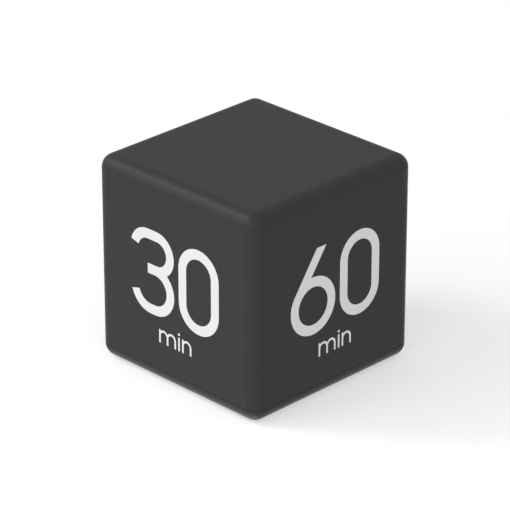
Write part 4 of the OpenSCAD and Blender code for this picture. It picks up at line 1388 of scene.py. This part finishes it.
def chips():
    """Small resistors and capacitors with tinned ends."""
    half, side, height = 0.8 * MM, 0.4 * MM, 0.55 * MM
    cap = 0.3 * MM
    inset = 0.02 * MM
    spots = [on_board(*p) for p in CHIPS]
    for name, finish, chosen in (("chip_resistors", chip_body(), spots[::2]),
                                 ("chip_capacitors", chip_tan(), spots[1::2])):
        body = bmesh.new()
        block(body, (cap - half, inset - side, inset), (half - cap, side - inset, height - inset), 0.03 * MM)
        settled(scattered(body, chosen, finish), name, (), "case", "chip_ceramic", "surface_parts")
    ends = bmesh.new()
    for near, far in ((-half, cap - half), (half - cap, half)):
        block(ends, (near, -side, 0), (far, side, height), 0.05 * MM)
    settled(scattered(ends, spots, solder_tin()), "chip_ends", (), "case", "steel")


class TIMER_OT_switch(bpy.types.Operator):
    """Finishes the slide switch and its knob"""

    bl_idname = "timer.switch"
    bl_label = "Slide switch"

    def execute(self, context):
        fine = sizes().fine_edge
        softened("switch_frame", rolled_steel(), "steel", fine)
        softened("switch_base", phenolic_brown(), "phenolic", fine)
        softened("switch_terminals", contact_brass(), "brass", fine)
        softened("switch_slider", slider_acetal(), "inner_plastic", fine)
        softened("switch_wiper", contact_brass(), "brass", fine)
        softened("switch_knob", knob_abs(), "knob_plastic", fine * 1.6)
        return {"FINISHED"}


class TIMER_OT_tilt_switches(bpy.types.Operator):
    """Makes the cans, headers and balls of the three tilt switches"""

    bl_idname = "timer.tilt_switches"
    bl_label = "Tilt switches"

    def execute(self, context):
        axes = {joint["child"]: Vector(joint["axis"]) for joint in frame["joints"]}
        for which, facing in (("a", 1), ("b", 1), ("c", -1)):
            ball = "tilt_ball_" + which
            tilt_switch(which, facing * axes[ball])
            dress(ball, ball_steel())
        return {"FINISHED"}


def tilt_switch(which, direction):
    """A can that runs in a direction from its closed end, and the header in its open end."""
    ball_low, ball_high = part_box("tilt_ball_" + which)
    inner = (ball_high.z - ball_low.z) / 2 + 0.05 * MM
    upright_low, upright_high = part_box("tilt_can_c")
    length = upright_high.z - upright_low.z
    start = middle("tilt_can_" + which) - direction * length / 2
    place = lying(start, direction)
    tilt_can(which, inner, length, place)
    parts = [tilt_header(inner, length, place)]
    if which != "c":
        end = start + direction * length
        side = Vector((0, 0, 1)).cross(direction) * inner / 2
        parts += [tilt_lead(end - side, direction), tilt_lead(end + side, direction)]
    work, finishes = joined(*parts)
    finished(work, "tilt_header_" + which + "_set", finishes, "case", "epoxy", "tilt_header_" + which)


def tilt_can(which, inner, length, place):
    """A drawn can with a round closed end, and a groove behind its rim."""
    wall = 0.3 * MM
    outer = inner + wall
    groove = outer - 0.12 * MM
    work = bmesh.new()
    turned(work, [(0, 0), (outer - 0.55 * MM, 0), (outer - 0.2 * MM, 0.09 * MM),
                  (outer - 0.04 * MM, 0.3 * MM), (outer, 0.55 * MM), (outer, length - 1.5 * MM),
                  (groove, length - 1.35 * MM), (groove, length - 1.15 * MM), (outer, length - 1.0 * MM),
                  (outer, length - 0.12 * MM), (outer - 0.1 * MM, length), (inner, length),
                  (inner, 0.5 * MM), (inner - 0.3 * MM, wall), (0, wall)], place, 40)
    finished(work, "tilt_can_" + which + "_drawn", [gilt_brass()], "case", "gilt_brass", "tilt_can_" + which)


def tilt_header(inner, length, place):
    """The plug in a can's open end, with the end of its pin."""
    foot = length - 1.2 * MM
    edge = inner - 0.02 * MM
    pin = 0.3 * MM
    work = bmesh.new()
    turned(work, [(0, foot), (edge - 0.1 * MM, foot), (edge, foot + 0.1 * MM), (edge, length - 0.08 * MM),
                  (edge - 0.08 * MM, length), (0, length)], place, 40)
    turned(work, [(0, foot - 0.5 * MM), (pin * 0.8, foot - 0.5 * MM), (pin, foot - 0.42 * MM),
                  (pin, foot + 0.1 * MM), (0, foot + 0.1 * MM)], place, 14, lambda ring, side: 1)
    header = mesh_from(work, "header")
    for finish in (black_epoxy(), gilt_brass()):
        header.materials.append(finish)
    return header


def tilt_lead(end, direction):
    """A lead that comes out of a header's end and bends down to the board."""
    root = end - direction * 0.1 * MM
    bend = end + direction * 1.2 * MM
    drop = Vector((0, 0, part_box("circuit_board")[1].z - bend.z))
    route = [root, root + direction * 0.7 * MM, bend - direction * 0.12 * MM - mm(0, 0, 0.12),
             bend + drop * 0.4, bend + drop]
    return lead_mesh(route, 0.28 * MM, gilt_brass(), 0.15 * MM, 10)


class TIMER_OT_battery_bay(bpy.types.Operator):
    """Makes the battery holder, the two cells and the contacts with their springs"""

    bl_idname = "timer.battery_bay"
    bl_label = "Battery bay"

    def execute(self, context):
        softened("battery_holder", holder_abs(), "inner_plastic", sizes().edge)
        contact("positive_contact", -1, bumps=[middle("positive_contact").y])
        contact("negative_contact", -1, springs=[middle("negative_contact").y])
        contact("bridge_contact", 1, springs=[middle("battery_a").y], bumps=[middle("battery_b").y])
        cell("battery_a", 1)
        cell("battery_b", -1)
        return {"FINISHED"}


def contact(node, facing, springs=(), bumps=()):
    """A stamped contact plate at one end of the bay, with a spring or a bump at each row along Y.

    facing is 1 or -1, the way along X that they stand out from it."""
    low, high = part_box(node)
    sheet = 0.4 * MM
    back = high.x if facing < 0 else low.x
    level = middle("battery_a").z
    work = bmesh.new()
    plate(work, contact_outline(high.y - low.y, high.z - level), 0, sheet)
    round_edges(work, 0.06 * MM, 50)
    stand = Matrix(((0, 0, facing, back), (facing, 0, 0, middle(node).y), (0, 1, 0, level), (0, 0, 0, 1)))
    bmesh.ops.transform(work, matrix=stand, verts=work.verts)
    for row in bumps:
        bump(work, lying(Vector((back + facing * sheet, row, level)), (facing, 0, 0)))
    stamped = mesh_from(work, node)
    stamped.materials.append(rolled_steel())
    wire = sizes().wire / 2
    coils = []
    for row in springs:
        coil = spring(wire, high.x - low.x - sheet)
        coil.transform(lying(Vector((back + facing * (sheet + wire), row, level)), (facing, 0, 0)))
        coils.append(coil)
    work, finishes = joined(stamped, *coils)
    finished(work, node + "_sprung", finishes, "case", "steel", node)


def contact_outline(width, top):
    """A contact plate's outline about its row's centre, with a tag where it has to reach a higher top."""
    half = 4 * MM
    tag = 1.2 * MM
    cut = 0.4 * MM
    outline = round_corners(width, 2 * half, 0.8 * MM, 4)
    if top < half + 1 * MM:
        return outline
    lip = [(tag, half), (tag, top - cut), (tag - cut, top), (cut - tag, top), (-tag, top - cut), (-tag, half)]
    corner = len(outline) // 4
    return outline[:corner] + lip + outline[corner:]


def bump(work, place):
    """Adds the low round bump that a cell's nub meets."""
    turned(work, [(0, -0.05 * MM), (2.2 * MM, -0.05 * MM), (2.1 * MM, 0.06 * MM), (1.5 * MM, 0.14 * MM),
                  (0, 0.15 * MM)], place)


def spring(wire, reach):
    """A conical spring along +Z, as high as it is under a cell's load."""
    return coil_tree().grow({
        "Turns": 4.0, "Start Radius": 3.4 * MM, "End Radius": 2.2 * MM, "Height": reach - 2 * wire,
        "Wire Radius": wire, "Steps": 36, "Sides": 10, "Finish": spring_steel(),
    })


def cell(node, facing):
    """A dry cell: printed sleeve rolled over a steel can, a pale band at the nub and a plus mark."""
    low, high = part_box(node)
    centre = middle(node)
    length = high.x - low.x
    foot, side, top = cell_profile((high.z - low.z) / 2, length)
    # The side's rings are half a millimetre apart. The last 12 are the band, with the plus mark in it.
    last = len(foot + side)
    band = last - 12
    plus = last - 7
    segments = 72
    front = segments * 3 // 4

    def part(ring, segment):
        """0 for bare steel, 1 for the sleeve, 2 for the pale print on it."""
        if ring < 5 or ring > last + 2:
            return 0
        turn = (segment - front + segments // 2) % segments - segments // 2
        # The plus mark's two bars, each two steps wide
        upright = abs(ring - plus) <= 3 and turn in (-1, 0)
        level = ring - plus in (-1, 0) and -4 <= turn <= 3
        if ring >= band:
            return 1 if upright or level else 2
        return 2 if ring == band - 3 else 1

    work = bmesh.new()
    start = Vector((centre.x - facing * length / 2, centre.y, centre.z))
    turned(work, foot + side + top, lying(start, (facing, 0, 0)), segments, part)
    finished(work, node + "_cell", [rolled_steel(), cell_sleeve(), cell_band()], "case", "cell_sleeve", node)


def cell_profile(radius, length):
    """A cell's rolled foot, its side in short steps, and its rolled top with the nub."""
    body = length - 0.9 * MM
    end = 0.5 * MM
    run = body - 2 * end
    steps = int(run / (0.5 * MM))
    foot = [(0, 0), (3.4 * MM, 0), (3.7 * MM, 0.12 * MM), (4.2 * MM, 0.35 * MM), (4.45 * MM, 0.3 * MM),
            (4.6 * MM, 0.1 * MM), (4.85 * MM, 0.05 * MM), (radius - 0.12 * MM, 0.18 * MM), (radius, end)]
    side = [(radius, end + i * run / steps) for i in range(1, steps + 1)]
    top = [(radius - 0.12 * MM, body - 0.18 * MM), (4.85 * MM, body - 0.05 * MM),
           (4.6 * MM, body - 0.08 * MM), (4.45 * MM, body - 0.4 * MM), (2.9 * MM, body - 0.4 * MM),
           (2.6 * MM, body - 0.15 * MM), (2.2 * MM, body), (1.95 * MM, body + 0.05 * MM),
           (1.85 * MM, length - 0.25 * MM), (1.7 * MM, length - 0.06 * MM), (1.45 * MM, length), (0, length)]
    return foot, side, top


class TIMER_OT_battery_door(bpy.types.Operator):
    """Makes the battery door and the foam pad in it"""

    bl_idname = "timer.battery_door"
    bl_label = "Battery door"

    def execute(self, context):
        room_for_print(softened("battery_door", charcoal_abs(), "case_plastic", sizes().edge))
        foam_pad()
        return {"FINISHED"}


def foam_pad():
    """A die-cut foam pad, crowned a little, with its edges pulled in where it was cut."""
    low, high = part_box("door_foam")
    centre = middle("door_foam")
    columns, rows = 60, 26
    falls = (0.28 * MM, 0.1 * MM, 0.03 * MM)
    roughness = 0.035
    dice = random.Random(11)
    work = bmesh.new()
    top = []
    for i in range(columns + 1):
        x = centre.x + (i / columns - 0.5) * (high.x - low.x)
        line = []
        for j in range(rows + 1):
            y = centre.y + (j / rows - 0.5) * (high.y - low.y)
            inward = min(i, columns - i, j, rows - j)
            fall = falls[inward] if inward < len(falls) else 0.0
            line.append(work.verts.new((x, y, high.z - fall - dice.uniform(0, roughness) * MM)))
        top.append(line)
    for i in range(columns):
        for j in range(rows):
            work.faces.new((top[i][j], top[i + 1][j], top[i + 1][j + 1], top[i][j + 1]))
    rim = [e for e in work.edges if e.is_boundary]
    pushed = bmesh.ops.extrude_edge_only(work, edges=rim)["geom"]
    for v in [g for g in pushed if isinstance(g, bmesh.types.BMVert)]:
        v.co.z = low.z
    bmesh.ops.contextual_create(work, geom=[g for g in pushed if isinstance(g, bmesh.types.BMEdge)])
    bmesh.ops.recalc_face_normals(work, faces=work.faces)
    pad = finished(work, "door_foam_pad", [open_foam()], "battery_door", "foam", "door_foam",
                   crease=60, even=False)


class TIMER_OT_buzzer(bpy.types.Operator):
    """Makes the buzzer's brass plate and its silvered ceramic disc"""

    bl_idname = "timer.buzzer"
    bl_label = "Buzzer"

    def execute(self, context):
        soft = 0.08 * MM
        brass_plate(soft)
        ceramic_disc(soft)
        return {"FINISHED"}


def brass_plate(soft):
    """The buzzer's round brass plate."""
    low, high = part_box("buzzer_plate")
    radius = (high.x - low.x) / 2
    work = bmesh.new()
    turned(work, [(0, low.z), (radius - soft, low.z), (radius, low.z + soft), (radius, high.z - soft),
                  (radius - soft, high.z), (0, high.z)], segments=96)
    finished(work, "buzzer_plate_pressed", [contact_brass()], "case", "brass", "buzzer_plate")


def ceramic_disc(soft):
    """The buzzer's ceramic disc, with a film of silver that stops short of its edge."""
    low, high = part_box("buzzer_ceramic")
    radius = (high.x - low.x) / 2
    silver = radius * 0.92
    face = low.z + 0.03 * MM
    bare = [(0, high.z), (radius - soft, high.z), (radius, high.z - soft), (radius, face + soft),
            (radius - soft, face)]
    film = [(silver, face), (silver - 0.02 * MM, low.z), (0, low.z)]
    work = bmesh.new()
    turned(work, bare + film, segments=96, part=lambda ring, side: int(ring >= len(bare)))
    finished(work, "buzzer_ceramic_silvered", [piezo_ceramic(), electrode_silver()], "case", "piezo_ceramic",
             "buzzer_ceramic")


class TIMER_OT_leads(bpy.types.Operator):
    """Runs the leads from the battery tags and the buzzer to the circuit board"""

    bl_idname = "timer.leads"
    bl_label = "Leads"

    def execute(self, context):
        gap = 0.05 * MM
        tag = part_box("positive_contact")[1].x - 1.15 * MM
        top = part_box("battery_holder")[1].z + gap
        tags = [Vector((tag, middle(node).y, top)) for node in ("battery_a", "battery_b")]
        ceramic_low, ceramic_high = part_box("buzzer_ceramic")
        brass_low, brass_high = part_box("buzzer_plate")
        rim = (ceramic_high.x + brass_high.x) / 2
        spots = [Vector((2 * MM, 2 * MM, ceramic_low.z - gap)), Vector((0, rim, brass_low.z - gap))]
        battery_leads(*tags)
        buzzer_leads(*spots)
        lead_solder(tags, spots)
        return {"FINISHED"}


def battery_leads(red, black):
    """The leads from the battery tags."""
    rise = 1 * MM
    lead("battery_lead_red", red_insulation(), "red_lead", red, rise,
         [red + mm(-1, 4, 4), red + mm(-4, 9, 4)])
    lead("battery_lead_black", black_insulation(), "black_lead", black, rise,
         [black + mm(-2, 5, 4.5), black + mm(-5, 11, 5), black + mm(-7, 18, 3.5)])


def buzzer_leads(red, black):
    """The leads from the buzzer's disc and plate."""
    rise = -1.5 * MM
    lead("buzzer_lead_red", red_insulation(), "red_lead", red, rise,
         [mm(5, 6, 48), mm(9, 10, 38), mm(7, 12, 28), mm(8, 17, 19)])
    lead("buzzer_lead_black", black_insulation(), "black_lead", black, rise,
         [mm(2, 10, 48), mm(5, 8, 36), mm(3, 14, 27), mm(6, 21, 18)])


def blob(work, centre, radius, height):
    """Adds a drop of solder that hangs from a flat face."""
    place = Matrix.Translation(centre) @ Matrix.Rotation(math.pi, 4, "X")
    turned(work, [(0, 0), (radius, 0), (radius * 0.96, height * 0.3), (radius * 0.75, height * 0.7),
                  (radius * 0.4, height * 0.94), (0, height)], place, 20)


def lead_solder(tags, spots):
    """Solder on the leads' ends: beside the battery tags, and under the buzzer."""
    disc_spot, plate_spot = spots
    sunk = mm(0, 0, 0.04)
    work = bmesh.new()
    blob(work, disc_spot + sunk, 1.3 * MM, 0.75 * MM)
    blob(work, plate_spot + sunk, 1.15 * MM, 0.7 * MM)
    for start in tags:
        turned(work, [(0, 0), (0.3 * MM, 0.05 * MM), (0.48 * MM, 0.3 * MM), (0.42 * MM, 0.7 * MM),
                      (0, 0.95 * MM)], Matrix.Translation(start + mm(0.45, 0, 0.1)), 18)
    finished(work, "lead_solder", [solder_tin()], "case", "steel", even=False)


def lead(node, insulation, slot, start, rise, route):
    """An insulated lead from a tag or a face to the board, with a bare tinned tip at each end."""
    out = Vector((0, 0, rise))
    over = mm(0, 0, 1.5)
    end = on_board(*LEAD_ENDS[node]) + mm(0, 0, 0.05)
    radius = 0.5 * MM
    bare = 0.7
    jacket = lead_mesh([start + bare * out, start + out, start + 2 * out, *route,
                        end + 2 * over, end + over, end + bare * over], radius, insulation)
    tips = [lead_mesh([at, at + step / 2, at + step], radius * 0.55, solder_tin(), 0.2 * MM, 10)
            for at, step in ((start, out), (end, over))]
    work, finishes = joined(jacket, *tips)
    finished(work, node + "_run", finishes, "case", slot, node, crease=60, even=False)


class TIMER_OT_screws(bpy.types.Operator):
    """Makes the case, board and holder screws, with cross recesses and threads"""

    bl_idname = "timer.screws"
    bl_label = "Screws"

    def execute(self, context):
        for node, up in (("case_screws", 1), ("board_screws", -1), ("holder_screws", -1)):
            screws(node, up)
        return {"FINISHED"}


def screws(node, up):
    """All the screws of a CAD node, in one or two rows of two. up is 1 where the shanks point up."""
    low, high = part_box(node)
    head = 1.85 * MM
    head_height = 1.4 * MM
    shape = screw_mesh(head, head_height, 0.95 * MM, high.z - low.z - head_height)
    across = high.x - low.x - 2 * head
    along = high.y - low.y - 2 * head
    rows = 2 if along > head else 1
    x, y, _ = middle(node)
    seat = low.z + head_height if up > 0 else high.z - head_height
    mesh = grid_tree().grow({
        "Centre": Vector((x, y, seat)), "Reach": Vector((across, along if rows == 2 else 0, 0)),
        "Across": 2, "Along": rows, "Tilt": Vector((0 if up > 0 else math.pi, 0, 0)),
        "Seed": len(node), "Finish": screw_steel(),
    }, shape)
    settled(mesh, node + "_threaded", (), "case", "steel", node)


def screw_mesh(head, head_height, radius, shank):
    """A pan-head screw whose seat is at z = 0, with its head below and its thread above."""
    work = bmesh.new()
    sides = 24
    turns = [2 * math.pi * k / sides for k in range(sides)]
    pitch = sizes().thread
    rings = []

    def ring(reaches, z):
        """Adds a ring of points at a height, each as far out as its own reach."""
        rings.append([work.verts.new((reach * math.cos(a), reach * math.sin(a), z))
                      for reach, a in zip(reaches, turns)])

    for share, level in ((0.35, 1.0), (0.68, 0.98), (0.87, 0.86), (0.97, 0.62), (1.0, 0.4), (1.0, 0.06),
                         (0.97, 0.0)):
        ring([head * share] * sides, -head_height * level)
    steps_per_pitch = 6
    steps = int(shank / pitch * steps_per_pitch)
    for i in range(steps + 1):
        z = shank * i / steps
        ring([thread_reach(a, z, radius, shank, pitch) for a in turns], z)
    for low, high in zip(rings, rings[1:]):
        for k in range(sides):
            n = (k + 1) % sides
            work.faces.new((low[k], low[n], high[n], high[k]))
    work.faces.new(rings[0])
    work.faces.new(rings[-1])
    bmesh.ops.recalc_face_normals(work, faces=work.faces)
    return crossed(mesh_from(work, "screw"), head, head_height)


def thread_reach(turn, z, radius, shank, pitch):
    """How far a screw's thread reaches at a turn about its axis and a height above its seat."""
    depth = 0.16 * MM
    width = 0.3 + 0.7 * min(1.0, (shank - z) / (1.6 * radius))
    run_in = min(1.0, z / (0.5 * pitch))
    phase = (z / pitch - turn / (2 * math.pi)) % 1.0
    return (radius - depth * run_in * abs(2 * phase - 1.0)) * width


def crossed(solid, head, head_height):
    """The screw with a tapered cross recess cut in its head."""
    arm = head * 0.60
    wide = head * 0.17
    bottom = -head_height * 0.42
    mouth = -head_height * 1.1
    work = bmesh.new()
    for turn in (0, 90):
        made = bmesh.ops.create_cube(work, size=2)["verts"]
        for v in made:
            deep = v.co.z > 0
            v.co.x *= arm * (0.55 if deep else 1.0)
            v.co.y *= wide * (0.7 if deep else 1.0)
            v.co.z = bottom if deep else mouth
        bmesh.ops.rotate(work, verts=made, matrix=Matrix.Rotation(math.radians(turn), 3, "Z"))
    bmesh.ops.recalc_face_normals(work, faces=work.faces)
    cutter = placed("cross", mesh_from(work, "cross"))
    holder = placed("screw", solid)
    cut = holder.modifiers.new("cut", "BOOLEAN")
    cut.object = cutter
    cut.operation = "DIFFERENCE"
    cut.solver = "EXACT"
    cut.use_self = True
    mesh = evaluated(holder)
    bpy.data.objects.remove(cutter)
    bpy.data.objects.remove(holder)
    return mesh


class TIMER_OT_stage(bpy.types.Operator):
    """Sets the floor, the even light, the lamps and the camera"""

    bl_idname = "timer.stage"
    bl_label = "Stage"

    def execute(self, context):
        stage = context.scene.timer_stage
        floor()
        world(stage.ambient)
        centre = Vector((0, 0, HALF))
        lamp("key_lamp", centre, (-0.5, -0.78, 0.38), 0.8, stage.key)
        lamp("fill_lamp", centre, (0.90, -0.30, 0.30), 0.8, stage.fill)
        lamp("front_lamp", centre, (0.3, -0.9, 0.2), 0.6, stage.front)
        lamp("edge_lamp", centre, (-0.616, -0.43, 0.66), 0.3, stage.edge)
        lamp("low_lamp", centre, (-0.1, -0.25, -0.96), 1.0, stage.low)
        camera(stage, centre)
        context.scene.view_settings.view_transform = "Standard"
        return {"FINISHED"}


def lamp(name, target, direction, width, watts):
    """A square lamp that faces the target from a metre away."""
    distance = 1.0
    light = bpy.data.lights.new(name, "AREA")
    light.size = width
    light.energy = watts
    aim(placed(name, light), target, distance * Vector(direction).normalized())


def aim(thing, target, away):
    """Puts a lamp or a camera a step away from the target, and turns it to face it."""
    thing.location = target + away
    thing.rotation_euler = away.to_track_quat("Z", "Y").to_euler()


def camera(stage, target):
    """A long lens that looks at the middle of the cube."""
    data = bpy.data.cameras.new("camera")
    data.lens = stage.lens
    data.clip_start = 0.01
    eye = placed("camera", data)
    flat = math.cos(stage.elevation)
    back = Vector((math.sin(stage.azimuth) * flat, -math.cos(stage.azimuth) * flat,
                   math.sin(stage.elevation)))
    aim(eye, target, stage.distance * back)
    bpy.context.scene.camera = eye


def seen(look):
    """1 for rays from the camera, mirrors and glass, which see the plain white background."""
    path = look.add("ShaderNodeLightPath").outputs
    mirrored = look.math("MAXIMUM", path["Is Glossy Ray"], path["Is Transmission Ray"])
    return look.math("MAXIMUM", path["Is Camera Ray"], mirrored)


class Surroundings(Finish):
    """The world's nodes, drawn with the same calls as a finish's."""

    def __init__(self, tree):
        self.tree = tree


def world(strength):
    """Even white light, and a white background for the camera, mirrors and glass."""
    surroundings = bpy.data.worlds.new("studio")
    surroundings.use_nodes = True
    bpy.context.scene.world = surroundings
    look = Surroundings(surroundings.node_tree)
    look.tree.nodes.clear()
    light = look.math("ADD", look.math("MULTIPLY", seen(look), 1 - strength), strength)
    glow = look.add("ShaderNodeBackground", {"Color": (1, 1, 1, 1), "Strength": light})
    out = look.add("ShaderNodeOutputWorld")
    look.tree.links.new(glow.outputs[0], out.inputs["Surface"])


def floor():
    """A disc under the cube that takes its shadow."""
    reach = 0.45
    work = bmesh.new()
    bmesh.ops.create_circle(work, cap_ends=True, segments=96, radius=reach,
                            matrix=Matrix.Translation((0, 0, -0.1 * MM)))
    bmesh.ops.recalc_face_normals(work, faces=work.faces)
    if work.faces[:][0].normal.z < 0:
        bmesh.ops.reverse_faces(work, faces=work.faces)
    mesh = mesh_from(work, "floor")
    mesh.materials.append(floor_paper())
    placed("floor", mesh)


def floor_paper():
    """Pale paper that fades out round the cube, for the camera alone and from above alone."""
    look = Finish("floor_paper", (0.5, 0.5, 0.5))
    nodes = look.tree.nodes
    nodes.remove(look.shader)
    far = look.add("ShaderNodeVectorMath", {0: look.place}, operation="LENGTH").outputs["Value"]
    near = look.ramp(far, 0.10, 0.32, 1.0, 0.0)
    grain = look.ramp(look.noise(0.8 * MM, 3.0), 0.3, 0.7, 0.885, 0.9)
    shade = look.add("ShaderNodeBsdfDiffuse", {"Color": grain})
    glow = look.add("ShaderNodeEmission", {"Color": (1, 1, 1, 1), "Strength": 0.42})
    paper = look.add("ShaderNodeAddShader", {0: shade.outputs[0], 1: glow.outputs[0]})
    clear = look.add("ShaderNodeBsdfTransparent")
    path = look.add("ShaderNodeLightPath").outputs
    behind = look.add("ShaderNodeNewGeometry").outputs["Backfacing"]
    front = look.math("SUBTRACT", 1.0, behind)
    shown = look.math("MULTIPLY", look.math("MULTIPLY", path["Is Camera Ray"], front), near)
    mix = look.add("ShaderNodeMixShader", {0: shown, 1: clear.outputs[0], 2: paper.outputs[0]})
    look.tree.links.new(mix.outputs[0], nodes["Material Output"].inputs["Surface"])
    return look.material


class TIMER_PT_panel(bpy.types.Panel):
    """Lists the timer's pieces, sizes and colours"""

    bl_idname = "TIMER_PT_panel"
    bl_label = "Cube Timer"
    bl_space_type = "VIEW_3D"
    bl_region_type = "UI"
    bl_category = "Cube Timer"

    def draw(self, context):
        for step in STEPS:
            self.layout.operator(step.bl_idname)
        for label, group in GROUPS.items():
            box = self.layout.box()
            for name in group.__annotations__:
                box.prop(getattr(context.scene, label), name)


GROUPS = {"timer_colours": TimerColours, "timer_sizes": TimerSizes, "timer_stage": TimerStage}
STEPS = (TIMER_OT_stage, TIMER_OT_case, TIMER_OT_numerals, TIMER_OT_marks, TIMER_OT_display, TIMER_OT_board,
         TIMER_OT_components, TIMER_OT_switch, TIMER_OT_tilt_switches, TIMER_OT_battery_bay,
         TIMER_OT_battery_door, TIMER_OT_buzzer, TIMER_OT_leads, TIMER_OT_screws)


def register():
    """Adds the settings, the operators and the panel."""
    for kind in (*GROUPS.values(), *STEPS, TIMER_PT_panel):
        bpy.utils.register_class(kind)
    for label, group in GROUPS.items():
        setattr(bpy.types.Scene, label, bpy.props.PointerProperty(type=group))


def unregister():
    """Takes away what register added."""
    for label in GROUPS:
        delattr(bpy.types.Scene, label)
    for kind in reversed((*GROUPS.values(), *STEPS, TIMER_PT_panel)):
        bpy.utils.unregister_class(kind)


def main():
    """Makes every piece in order."""
    register()
    for step in STEPS:
        family, action = step.bl_idname.split(".")
        getattr(getattr(bpy.ops, family), action)()


if __name__ == "__main__":
    main()
